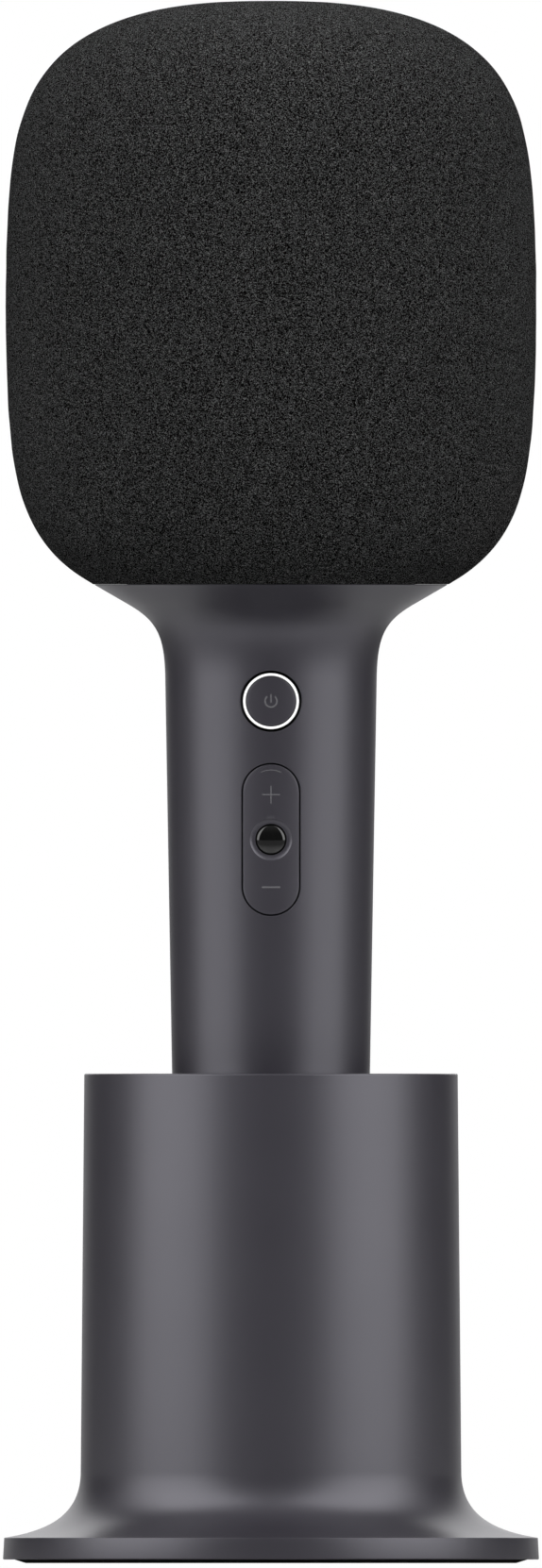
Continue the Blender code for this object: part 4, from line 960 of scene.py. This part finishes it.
@dataclass(frozen=True)
class EndCap:
    """The plug in the handle's lower end, with its screws and the charging socket. Sizes in metres."""

    shop: Workshop
    form: HandleForm
    thickness: float = 0.0020
    edge: float = 0.0008
    plug_wall: float = 0.0016
    handle_wall: float = 0.0020
    gap: float = 0.0003
    port_wall: float = 0.00035
    port_pocket: float = 0.0055
    tongue: float = 0.0007
    screw_head: float = 0.0019
    segments: int = 128

    def stadium(self, length: float, width: float, height: float) -> np.ndarray:
        """One level ring of a slot shape, length along X."""
        angles = np.arange(96) * FULL_TURN / 96
        flat = Opening(0.0, width / 2, (length - width) / 2).outline(angles + math.pi / 2)
        return np.stack([flat[:, 1], flat[:, 0], np.full(len(angles), height)], axis=-1)

    def prism(self, length: float, width: float, low: float, high: float) -> Patch:
        """A slot-shaped block between two heights, closed at both ends."""
        rings = [self.stadium(length, width, level) for level in (low, high)]
        ends = [np.broadcast_to((0.0, 0.0, level), rings[0].shape) for level in (low, high)]
        return Patch(np.stack([ends[0], *rings, ends[1]]), around=True)

    def cap(self) -> None:
        """The cap: a turned plug with the socket's mouth and two screw holes cut through."""
        box, port, screw = Box.of("end_cap"), Box.of("usb_port"), Box.of("end_cap_screw_1")
        low, high = box.low[2], box.high[2]
        rim = self.form.end_radius
        plug = rim - self.handle_wall - self.gap
        face = low + self.thickness
        corners = [
            (0, low, 0.0),
            (rim - self.edge / 4, low, 0.0007),
            (rim + self.form.taper * self.thickness, face, 0.0001),
            (plug, face, 0.0),
            (plug, high, 0.0003),
            (plug - self.plug_wall, high, 0.0),
            (plug - self.plug_wall, face, 0.0),
            (0, face, 0.0),
        ]
        cap = made("handle_end_cap", [turned(rounded(corners), self.segments)])
        size = port.high - port.low + 2 * self.gap
        cutters = [made("mouth_cutter", [self.prism(size[0], size[1], low - 0.01, high + 0.01)])]
        for count in (1, 2):
            centre = Box.of(f"end_cap_screw_{count}").centre
            hole = self.screw_head + 0.00025
            ring = np.array([(0, low - 0.01), (hole, low - 0.01), (hole, screw.high[2]), (0, screw.high[2])])
            patch = turned(ring, 48)
            cutters.append(made(f"screw_cutter_{count}", [Patch(patch.points + (centre[0], centre[1], 0), True)]))
        carved(cap, cutters)
        self.shop.dress(cap, SATIN, "microphone", "end_cap")

    def screws(self) -> None:
        """Two pan-head screws, each with a cross cut into its head."""
        for count in (1, 2):
            box = Box.of(f"end_cap_screw_{count}")
            low, high, centre = box.low[2], box.high[2], box.centre
            shoulder = low + 0.0013
            corners = [(0, low, 0.0), (self.screw_head, low, 0.0006), (self.screw_head, shoulder, 0.0)]
            corners += [(0.00095, shoulder, 0.0), (0.00095, high, 0.0002), (0, high, 0.0)]
            patch = turned(rounded(corners), 48)
            screw = made(f"cap_screw_{count}", [Patch(patch.points + (centre[0], centre[1], 0), True)])
            cutters = []
            for side, (long, short) in enumerate(((0.0020, 0.00045), (0.00045, 0.0020))):
                across = np.array([[-1, -1], [1, -1], [1, 1], [-1, 1]]) * (long / 2, short / 2) + centre[:2]
                levels = (low - 0.001, low + 0.0007)
                rings = [np.column_stack([across, np.full(4, level)]) for level in levels]
                ends = [np.broadcast_to((*centre[:2], level), (4, 3)) for level in levels]
                patch = Patch(np.stack([ends[0], *rings, ends[1]]), around=True)
                cutters.append(made(f"cross_cutter_{side}", [patch]))
            carved(screw, cutters)
            self.shop.dress(screw, STEEL, "microphone", f"end_cap_screw_{count}")

    def port(self) -> None:
        """The charging socket: a folded sleeve with an eased lip, a pocket, and a tongue on its middle plane."""
        box = Box.of("usb_port")
        size, low, high = box.high - box.low, box.low[2], box.high[2]
        inner = size - 2 * self.port_wall
        floor = low + self.port_pocket
        lip = self.port_wall / 2
        turns = np.linspace(math.pi, 0, 7)
        rings = [self.stadium(0.001 * size[0], 0.0005 * size[1], high), self.stadium(size[0], size[1], high)]
        for turn in turns:
            grow = lip * (1 - math.cos(math.pi - turn))
            level = low + lip * (1 - math.sin(turn))
            rings.append(self.stadium(size[0] - 2 * grow, size[1] - 2 * grow, level))
        rings += [self.stadium(inner[0], inner[1], floor), self.stadium(0.001 * size[0], 0.0005 * size[1], floor)]
        centre = [np.broadcast_to((0.0, 0.0, level), rings[0].shape) for level in (high, floor)]
        sleeve = Patch(np.stack([centre[0], *rings, centre[1]]), around=True)
        half = inner[0] - 0.0016
        tongue = self.prism(half, self.tongue, low + 0.0008, floor + self.port_wall / 2)
        piece = made("charging_socket", [sleeve, tongue])
        self.shop.dress(piece, STEEL, "microphone", "usb_port")

    def build(self) -> None:
        """Builds every piece of the end cap."""
        self.cap()
        self.screws()
        self.port()


# Keys

@dataclass(frozen=True)
class Keys:
    """The power key with its light ring, the volume rocker, the effect key, and their signs. Sizes in metres."""

    shop: Workshop
    form: HandleForm
    power: Opening
    slot: Opening
    gap: float = 0.00025
    power_gap: float = 0.00033
    lens_gap: float = 0.0001
    ring_width: float = 0.00065
    lens_inset: float = 0.00007
    lens_rebate: float = 0.00015
    flange: float = 0.0009
    flange_thickness: float = 0.0010
    lens_depth: float = 0.00016
    edge: float = 0.00007
    effect_radius: float = 0.00248
    effect_rise: float = 0.0005
    effect_edge: float = 0.00020
    effect_flange: float = 0.0006
    effect_flange_thickness: float = 0.0007
    dish_radius: float = 0.00365
    dish_depth: float = 0.00034
    dish_power: float = 2.2
    sign_lift: float = 0.00002
    spokes: int = 240

    @property
    def angles(self) -> np.ndarray:
        """Directions round a key's centre."""
        return np.arange(self.spokes) * FULL_TURN / self.spokes

    def skin(self, outline: Opening, starts: Sequence[float], inner: float) -> list[np.ndarray]:
        """Rings of a key's face, from an inner circle out to its outline less its eased edge.

        Args:
            outline: The key's outline.
            starts: Shares of the way out.
            inner: Radius of the inner circle.

        Returns:
            X and Z of each ring.
        """
        circle = Opening(outline.height, inner).outline(self.angles)
        border = outline.outline(self.angles, -self.edge)
        return [circle + share * (border - circle) for share in starts]

    def rim(self, outline: Opening, back: float, direction: int = 1) -> list[np.ndarray]:
        """Rings that carry a key's face over its eased edge and straight back.

        Args:
            outline: The key's outline.
            back: The Y of its back.
            direction: 1 for an outer edge, -1 for the edge of a hole.

        Returns:
            The rings, as points.
        """
        rings = []
        for turn in np.linspace(0, math.pi / 2, 5)[1:]:
            grow = direction * self.edge * (math.sin(turn) - 1)
            rings.append(self.form.front(outline.outline(self.angles, grow), self.edge * (1 - math.cos(turn))))
        last = outline.outline(self.angles)
        rings.append(np.stack([last[:, 0], np.full(len(last), back), last[:, 1]], axis=-1))
        return rings

    def power_cap(self) -> None:
        """The power cap: a disc of the handle's own curve, with an eased edge."""
        back = Box.of("power_cap").high[1]
        radius = self.power.radius - self.power_gap - self.ring_width - self.lens_gap
        outline = Opening(self.power.height, radius)
        rings = [self.form.front(flat) for flat in self.skin(outline, np.linspace(0, 1, 10), 0.0)]
        rings += self.rim(outline, back)
        rings.append(np.broadcast_to((0.0, back, self.power.height), rings[0].shape))
        piece = made("power_cap_face", [Patch(np.stack(rings), around=True)])
        self.shop.dress(piece, SATIN, "power_key", "power_cap")

    def level_ring(self, radius: float, level: float) -> np.ndarray:
        """A ring about the power key's centre at one Y."""
        flat = Opening(self.power.height, radius).outline(self.angles)
        return np.stack([flat[:, 0], np.full(len(flat), level), flat[:, 1]], axis=-1)

    def light_ring(self) -> None:
        """The light guide round the power cap: a thin crowned lens on a dark body with a flange at its back.

        The lens falls off towards both edges by 0.12 mm (2 u - 1)^4, where u runs across it.
        """
        back = Box.of("light_ring").high[1]
        outer = self.power.radius - self.power_gap
        inner = outer - self.ring_width
        limits = (inner + self.lens_inset, outer - self.lens_rebate)
        start, end = (Opening(self.power.height, radius).outline(self.angles) for radius in limits)
        shares = np.linspace(0, 1, 9)
        crown = [self.form.front(start + u * (end - start), 0.00012 * (2 * u - 1) ** 4) for u in shares]
        floor = [self.form.front(flat, self.lens_depth) for flat in (end, start)]
        lens = made("power_light_lens", [Patch(np.stack([*crown, *floor, crown[0]]), around=True)])
        self.shop.dress(lens, LIGHT, "power_key", "light_ring")
        seat = [self.form.front(flat, self.lens_depth + self.lens_gap / 5) for flat in (start, end)]
        step = back - self.flange_thickness
        places = ((outer, step), (outer + self.flange, step), (outer + self.flange, back), (inner, back))
        rings = [*seat, *(self.level_ring(radius, level) for radius, level in places), seat[0]]
        self.shop.dress(made("power_light_body", [Patch(np.stack(rings), around=True)]), MATTE, "power_key")

    def rocker(self) -> None:
        """The volume rocker: a slot-shaped plate of the handle's curve, dished round the effect key.

        The dish sinks by depth (1 - u^power) below the handle's curve, where u runs from its hole to its edge.
        """
        back = Box.of("volume_rocker").low[1] + 0.0037
        outline = Opening(self.slot.height, self.slot.radius - self.gap, self.slot.straight)
        hole = self.effect_radius + self.gap
        circles = np.linspace(hole, self.dish_radius, 20)
        shares = np.linspace(0, 1, 20)
        rings = []
        for radius, share in zip(circles, shares):
            flat = Opening(outline.height, radius).outline(self.angles)
            rings.append(self.form.front(flat, self.dish_depth * (1 - share**self.dish_power)))
        rings += [self.form.front(flat) for flat in self.skin(outline, np.linspace(0, 1, 14)[1:], self.dish_radius)]
        rings += self.rim(outline, back)
        bore = Opening(outline.height, hole).outline(self.angles)
        rings.append(np.stack([bore[:, 0], np.full(len(bore), back), bore[:, 1]], axis=-1))
        rings.append(rings[0])
        piece = made("volume_rocker_plate", [Patch(np.stack(rings), around=True)])
        self.shop.dress(piece, SATIN, "volume_key", "volume_rocker")

    def effect_key(self) -> None:
        """The effect key: a polished dome on a short stem with a flange."""
        box = Box.of("effect_button")
        face, back = box.low[1], box.high[1]
        height = back - face
        ball = (self.effect_radius**2 + self.effect_rise**2) / (2 * self.effect_rise)
        turns = np.linspace(0.85, 0, 24) * math.asin(self.effect_radius / ball)
        dome = np.stack([ball * np.sin(turns), height - ball + ball * np.cos(turns)], axis=-1)
        lip, step = self.effect_radius + self.effect_flange, self.effect_flange_thickness
        corners = [(0, 0, 0.0), (lip, 0, 0.0), (lip, step, 0.0), (self.effect_radius, step, 0.0)]
        corners += [(self.effect_radius, height - self.effect_rise, self.effect_edge)]
        profile = rounded(corners + [(r, z, 0.0) for r, z in dome])
        centre = np.array([0.0, back, box.centre[2]])
        patch = facing_front(turned(profile, 96), centre)
        self.shop.dress(made("effect_dome", [patch]), GLOSS, "effect_key", "effect_button")

    def stroke(self, path: np.ndarray, width: float) -> list[Patch]:
        """A printed line on the handle's curve: a flat strip that stands a little proud, with its sides and ends.

        Args:
            path: X and Z along the line.
            width: The line's width.

        Returns:
            The strip's faces.
        """
        along = np.gradient(path, axis=0)
        along /= np.linalg.norm(along, axis=1)[:, None]
        side = np.stack([-along[:, 1], along[:, 0]], axis=-1) * width / 2
        tops = [self.form.front(path + share * side, -self.sign_lift) for share in np.linspace(-1, 1, 4)]
        roots = [self.form.front(path + share * side, 2 * self.sign_lift) for share in (1, -1)]
        rings = np.stack([*tops, *roots], axis=1)
        ends = [np.stack([ring, np.broadcast_to(ring.mean(axis=0), ring.shape)]) for ring in rings[[0, -1]]]
        return [Patch(rings, around=True), *(Patch(end, around=True) for end in ends)]

    def line(self, start: tuple[float, float], end: tuple[float, float], width: float) -> list[Patch]:
        """A straight stroke between two places, X and Z."""
        return self.stroke(np.linspace(start, end, 12), width)

    def signs(self) -> None:
        """The generic signs: power on its cap; plus and minus on the rocker. An arched ridge on the rocker takes the
        signs' lighter colour as a painted highlight along it.
        """
        middle = self.power.height
        sweep = np.linspace(math.radians(90 + 37), math.radians(360 + 90 - 37), 60)
        ring = 0.00103 * np.stack([np.cos(sweep), np.sin(sweep)], axis=-1) + (0, middle)
        power = self.stroke(ring, 0.00028) + self.line((0, middle + 0.00123), (0, middle - 0.00027), 0.00026)
        self.shop.dress(made("power_sign", power), PRINT_AND_RIDGE_HIGHLIGHT, "power_key")
        plus, arm, width = self.slot.height + 0.0078, 0.00155, 0.00020
        up = self.line((-arm, plus), (arm, plus), width)
        up += self.line((0, plus + width / 2), (0, plus + arm), width)
        up += self.line((0, plus - width / 2), (0, plus - arm), width)
        self.shop.dress(made("plus_sign", up), PRINT_AND_RIDGE_HIGHLIGHT, "volume_key")
        minus = self.slot.height - 0.0083
        self.shop.dress(made("minus_sign", self.line((-0.0016, minus), (0.0016, minus), 0.00030)), PRINT_AND_RIDGE_HIGHLIGHT, "volume_key")
        # The arched ridge is a thin strip in the signs' lighter colour: a painted highlight where a raised ridge
        # catches the light.
        end = self.slot.height + self.slot.straight
        arch = np.linspace(math.radians(90 + 27), math.radians(90 - 27), 40)
        ridge = 0.00388 * np.stack([np.cos(arch), np.sin(arch)], axis=-1) + (0, end)
        self.shop.dress(made("rocker_ridge_painted_highlight", self.stroke(ridge, 0.00014)), PRINT_AND_RIDGE_HIGHLIGHT, "volume_key")

    def build(self) -> None:
        """Builds every key and sign."""
        self.power_cap()
        self.light_ring()
        self.rocker()
        self.effect_key()
        self.signs()


# Head

@dataclass(frozen=True)
class Head:
    """The foam cover: a squared-off dome over a bowed barrel that narrows to the collar. Sizes in metres."""

    shop: Workshop
    radius: float = 0.04614
    widest: float = 0.04812
    rise: float = 0.05303
    bow: float = 1.362
    overhang: float = 0.0005
    tuck: float = 0.0060
    crown_power: tuple[float, float] = (2.51, 5.29)
    chin_power: tuple[float, float] = (2.32, 5.59)
    thickness: float = 0.0040
    droop: float = 0.00028
    lip: float = 0.0004
    lump: float = 0.00005
    segments: int = 224
    steps: tuple[int, int] = (110, 90)

    def barrel(self, drop: np.ndarray) -> np.ndarray:
        """Radius of the lower half at a depth d below the widest part.

        It is (R - bow d^2) (1 - (d / D)^q)^(1 / p), where D is the depth at which it would close.

        Args:
            drop: Depths.

        Returns:
            The radii.
        """
        share = (drop / (self.widest + self.tuck)) ** self.chin_power[1]
        return (self.radius - self.bow * drop**2) * (1 - share) ** (1 / self.chin_power[0])

    def line(self, base: float, edge: float) -> np.ndarray:
        """The outer line, from the lower edge up to the crown.

        Below, the barrel is stretched so that it ends on the edge's radius. Above, the height is
        rise cos(a)^(2 / q) and the radius (R - bow h^2) sin(a)^(2 / p).

        Args:
            base: Height of the lower edge.
            edge: Radius of the lower edge.

        Returns:
            Radius and height of each point.
        """
        drop = self.widest * (1 - (1 - np.linspace(1, 0, self.steps[1] + 1)) ** 1.6)
        narrow = self.barrel(np.array([self.widest]))[0]
        chin = edge + (self.radius - edge) * (self.barrel(drop) - narrow) / (self.radius - narrow)
        angle = math.pi / 2 * (1 - (1 - np.linspace(1, 0, self.steps[0] + 1)[1:]) ** 1.6)
        height = self.rise * np.cos(angle) ** (2 / self.crown_power[1])
        crown = (self.radius - self.bow * height**2) * np.sin(angle) ** (2 / self.crown_power[0])
        lower = np.stack([chin, base + self.widest - drop], axis=-1)
        upper = np.stack([crown, base + self.widest + height], axis=-1)
        return np.concatenate([lower, upper])

    def build(self) -> None:
        """The foam cover, closed: outer skin with slight lumps, rolled lower edge, and lining.

        The skin moves along its radius by a sum of sines in angle and height, which fades out at crown and edge.
        """
        box = Box.of("foam_cover")
        base = box.low[2]
        edge = Box.of("handle_shell").high[0] + self.overhang
        line = self.line(base, edge)
        lining = inward(line, self.thickness)
        lining = lining[(lining[:, 0] > 0) & (lining[:, 1] > base + 0.001)][::-4]
        lip = base - self.droop
        corners = [(lining[-1][0], lining[-1][1], 0.0), (edge - self.thickness, lip, 0.0003)]
        corners += [(edge - self.lip, lip, 0.00012), (*line[3], 0.0)]
        profile = np.concatenate([[(0.0, lining[0][1])], lining[:-1], rounded(corners), line[4:]])
        patch = turned(profile, self.segments)
        angle = np.arange(self.segments) * FULL_TURN / self.segments
        height = profile[:, 1:] - base
        wave = np.sin(7 * angle + 260 * height) + np.sin(11 * angle - 430 * height + 1.3)
        wave = wave + np.sin(17 * angle + 690 * height + 0.4) + np.sin(23 * angle - 910 * height + 2.1)
        outer = np.arange(len(profile)) > len(lining) + 20
        fade = np.where(outer, np.clip(profile[:, 0] / 0.03, 0, 1) * np.clip(height[:, 0] / 0.01, 0, 1), 0)[:, None]
        swell = 1 + self.lump * (wave - 4) / 4 * fade / np.maximum(profile[:, :1], 0.01)
        points = patch.points.copy()
        points[..., :2] *= swell[..., None]
        piece = made("foam_head", [Patch(points, around=True)], 60.0)
        self.shop.dress(piece, FOAM, "microphone", "foam_cover")
        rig.padded(piece, fill=1.0)


# Studio

@dataclass(frozen=True)
class Lamp:
    """A soft box.

    Attributes:
        name: The lamp's name.
        place: Where it stands.
        target: What it faces.
        size: Width and height.
        radiance: Brightness of its face.
        spread: Angle of its beam in degrees; a narrow one shows no reflection of itself.
    """

    name: str
    place: tuple[float, float, float]
    target: tuple[float, float, float]
    size: tuple[float, float]
    radiance: float
    spread: float = 180.0

    def build(self) -> None:
        """Adds the lamp. Its power is pi times radiance times area."""
        light = bpy.data.lights.new(self.name, "AREA")
        light.shape = "RECTANGLE"
        light.size, light.size_y = self.size
        light.energy = math.pi * self.radiance * self.size[0] * self.size[1]
        lamp = bpy.data.objects.new(self.name, light)
        bpy.context.scene.collection.objects.link(lamp)
        lamp.visible_camera = False
        lamp.visible_glossy = self.spread == 180.0
        light.spread = math.radians(self.spread)
        away = np.array(self.place) - np.array(self.target)
        flat = math.hypot(away[0], away[1])
        lamp.location = self.place
        lamp.rotation_euler = (math.atan2(flat, away[2]), 0.0, math.atan2(away[0], -away[1]))


@dataclass(frozen=True)
class Studio:
    """Floor, lamps, world and camera."""

    frame_height: float = 0.2726
    frame_low: float = -0.000853
    axis_offset: float = 0.0
    floor_size: float = 12.0
    floor_colour: Colour = (0.50, 0.50, 0.50)

    def floor(self) -> None:
        """A level floor under the object whose colour carries painted light: painted shade round the object's foot,
        painted dimming further off to the front and back, and a painted pool of light in a lane behind the object.
        """
        side = np.linspace(-self.floor_size / 2, self.floor_size / 2, 2)
        across, along = np.meshgrid(side, side)
        piece = made("floor", [Patch(np.stack([across, along, np.zeros_like(across)], axis=-1))])
        material = bpy.data.materials.new("floor_paint")
        material.use_nodes = True
        shader = material.node_tree.nodes["Principled BSDF"]
        sheet = Sheet(material.node_tree)
        place = sheet.add("ShaderNodeTexCoord", {}).outputs["Object"]
        reach = sheet.add("ShaderNodeVectorMath", {0: place}, operation="LENGTH").outputs["Value"]
        # Painted shade: the floor is darker within about 0.15 m of the object's axis.
        near = sheet.between(reach, 0.09, 0.15, 0.34, 0.66)
        parts = sheet.add("ShaderNodeSeparateXYZ", {"Vector": place}).outputs
        # Painted dimming: the floor grows darker with distance to the front and back.
        depth = sheet.sum("ABSOLUTE", sheet.sum("ADD", parts["Y"], 0.06))
        far = sheet.between(depth, 0.05, 0.38, 1.0, 0.32)
        # Painted pool of light: a lane behind the object, narrow across, brighter than the rest of the floor.
        middle = sheet.between(sheet.sum("ABSOLUTE", parts["X"]), 0.06, 0.42, 1.0, 0.0)
        lane = sheet.sum("MULTIPLY", middle, sheet.between(parts["Y"], 0.20, 0.60, 0.0, 1.3))
        # The floor's colour: the painted shade times the brighter of the painted dimming and the painted lane.
        grey = sheet.sum("MULTIPLY", near, sheet.sum("MAXIMUM", far, lane))
        material.node_tree.links.new(grey, shader.inputs["Base Color"])
        shader.inputs["Roughness"].default_value = 0.9
        shader.inputs["Specular IOR Level"].default_value = 0.1
        piece.data.materials.append(material)
        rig.stage(piece)

    def world(self) -> None:
        """White where the camera looks past the object. Other rays find white behind it and grey elsewhere."""
        world = bpy.data.worlds.new("studio")
        world.use_nodes = True
        world.node_tree.nodes.clear()
        sheet = Sheet(world.node_tree)
        bearing = sheet.add("ShaderNodeTexCoord", {}).outputs["Generated"]
        parts = sheet.add("ShaderNodeSeparateXYZ", {"Vector": bearing}).outputs
        level = sheet.sum("SQRT", sheet.sum("MULTIPLY_ADD", parts["X"], parts["X"], sheet.sum("POWER", parts["Y"], 2.0)))
        wall = sheet.between(sheet.sum("DIVIDE", parts["Y"], level), 0.80, 0.96, 0.0, 1.0)
        rising = sheet.between(parts["Z"], 0.0, 0.30, 0.80, 1.9)
        fading = sheet.between(parts["Z"], 0.50, 0.85, 1.0, 0.1)
        path = sheet.add("ShaderNodeLightPath", {}).outputs
        glow = sheet.sum("MULTIPLY", wall, sheet.sum("MULTIPLY", rising, fading))
        above = sheet.between(parts["Z"], 0.30, 0.75, 0.05, 0.22)
        mirrored = sheet.sum("MULTIPLY", sheet.sum("MAXIMUM", glow, above), path["Is Glossy Ray"])
        behind = sheet.sum("MAXIMUM", mirrored, 0.05)
        seen = sheet.sum("MAXIMUM", path["Is Camera Ray"], path["Is Transmission Ray"])
        white = sheet.sum("MAXIMUM", behind, seen)
        light = sheet.add("ShaderNodeBackground", {"Color": white, "Strength": 1.0})
        sheet.add("ShaderNodeOutputWorld", {"Surface": light.outputs["Background"]})
        bpy.context.scene.world = world

    def lamps(self) -> None:
        """Two large soft boxes, high to the left and right of the camera."""
        middle = np.array([0.0, 0.0, 0.10])
        reach, turn, rise = 2.6, math.radians(63.5), math.radians(32.0)
        for name, side in (("soft_box_left", -1), ("soft_box_right", 1)):
            bearing = (side * math.sin(turn) * math.cos(rise), -math.cos(turn) * math.cos(rise), math.sin(rise))
            Lamp(name, tuple(middle + reach * np.array(bearing)), tuple(middle), (2.81, 3.43), 2.86).build()
        Lamp("soft_box_top", (0.03, -0.10, 0.52), (0.006, -0.02, 0.265), (0.08, 0.08), 1.3, 28.0).build()
        Lamp("soft_box_front", (0.03, -0.85, 0.50), (0.0, 0.0, 0.20), (0.3, 0.3), 2.2, 60.0).build()
        Lamp("soft_box_back", (0.0, 1.30, 0.42), (0.0, 0.0, 0.17), (0.6, 0.6), 2.6, 60.0).build()

    def camera(self) -> None:
        """A level camera straight in front, with parallel rays."""
        data = bpy.data.cameras.new("camera")
        data.type = "ORTHO"
        data.sensor_fit = "VERTICAL"
        data.ortho_scale = self.frame_height
        camera = bpy.data.objects.new("camera", data)
        bpy.context.scene.collection.objects.link(camera)
        camera.location = (self.axis_offset, -1.2, self.frame_low + self.frame_height / 2)
        camera.rotation_euler = (math.pi / 2, 0.0, 0.0)
        bpy.context.scene.camera = camera

    def build(self) -> None:
        """Builds the studio."""
        self.camera()
        self.floor()
        self.world()
        self.lamps()
        bpy.context.scene.view_settings.view_transform = "Standard"


def main() -> None:
    """Loads the frame, builds each sub-assembly in order, and notes the sizes of solids and looks."""
    logging.basicConfig(level=logging.INFO, format="%(name)s: %(message)s")
    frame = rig.load(FRAME_FOLDER)
    solids = [list(corner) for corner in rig.bounds()]
    shop = Workshop()
    shop.dress_solids(frame)
    form = HandleForm.from_frame()
    power = Opening(Box.of("power_cap").centre[2], 0.00533)
    rocker = Box.of("volume_rocker")
    length, width = rocker.high[2] - rocker.low[2], 0.0097
    slot = Opening(rocker.centre[2], width / 2 + 0.00025, (length - width) / 2)
    Studio().build()
    Dock(shop).build()
    Handle(shop, form, power, slot).build()
    Keys(shop, form, power, slot).build()
    Head(shop).build()
    looks = [list(corner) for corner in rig.bounds()]
    with open(SIZE_FILE, "w") as file:
        json.dump({"solids": solids, "looks": looks}, file)


if __name__ == "__main__":
    main()
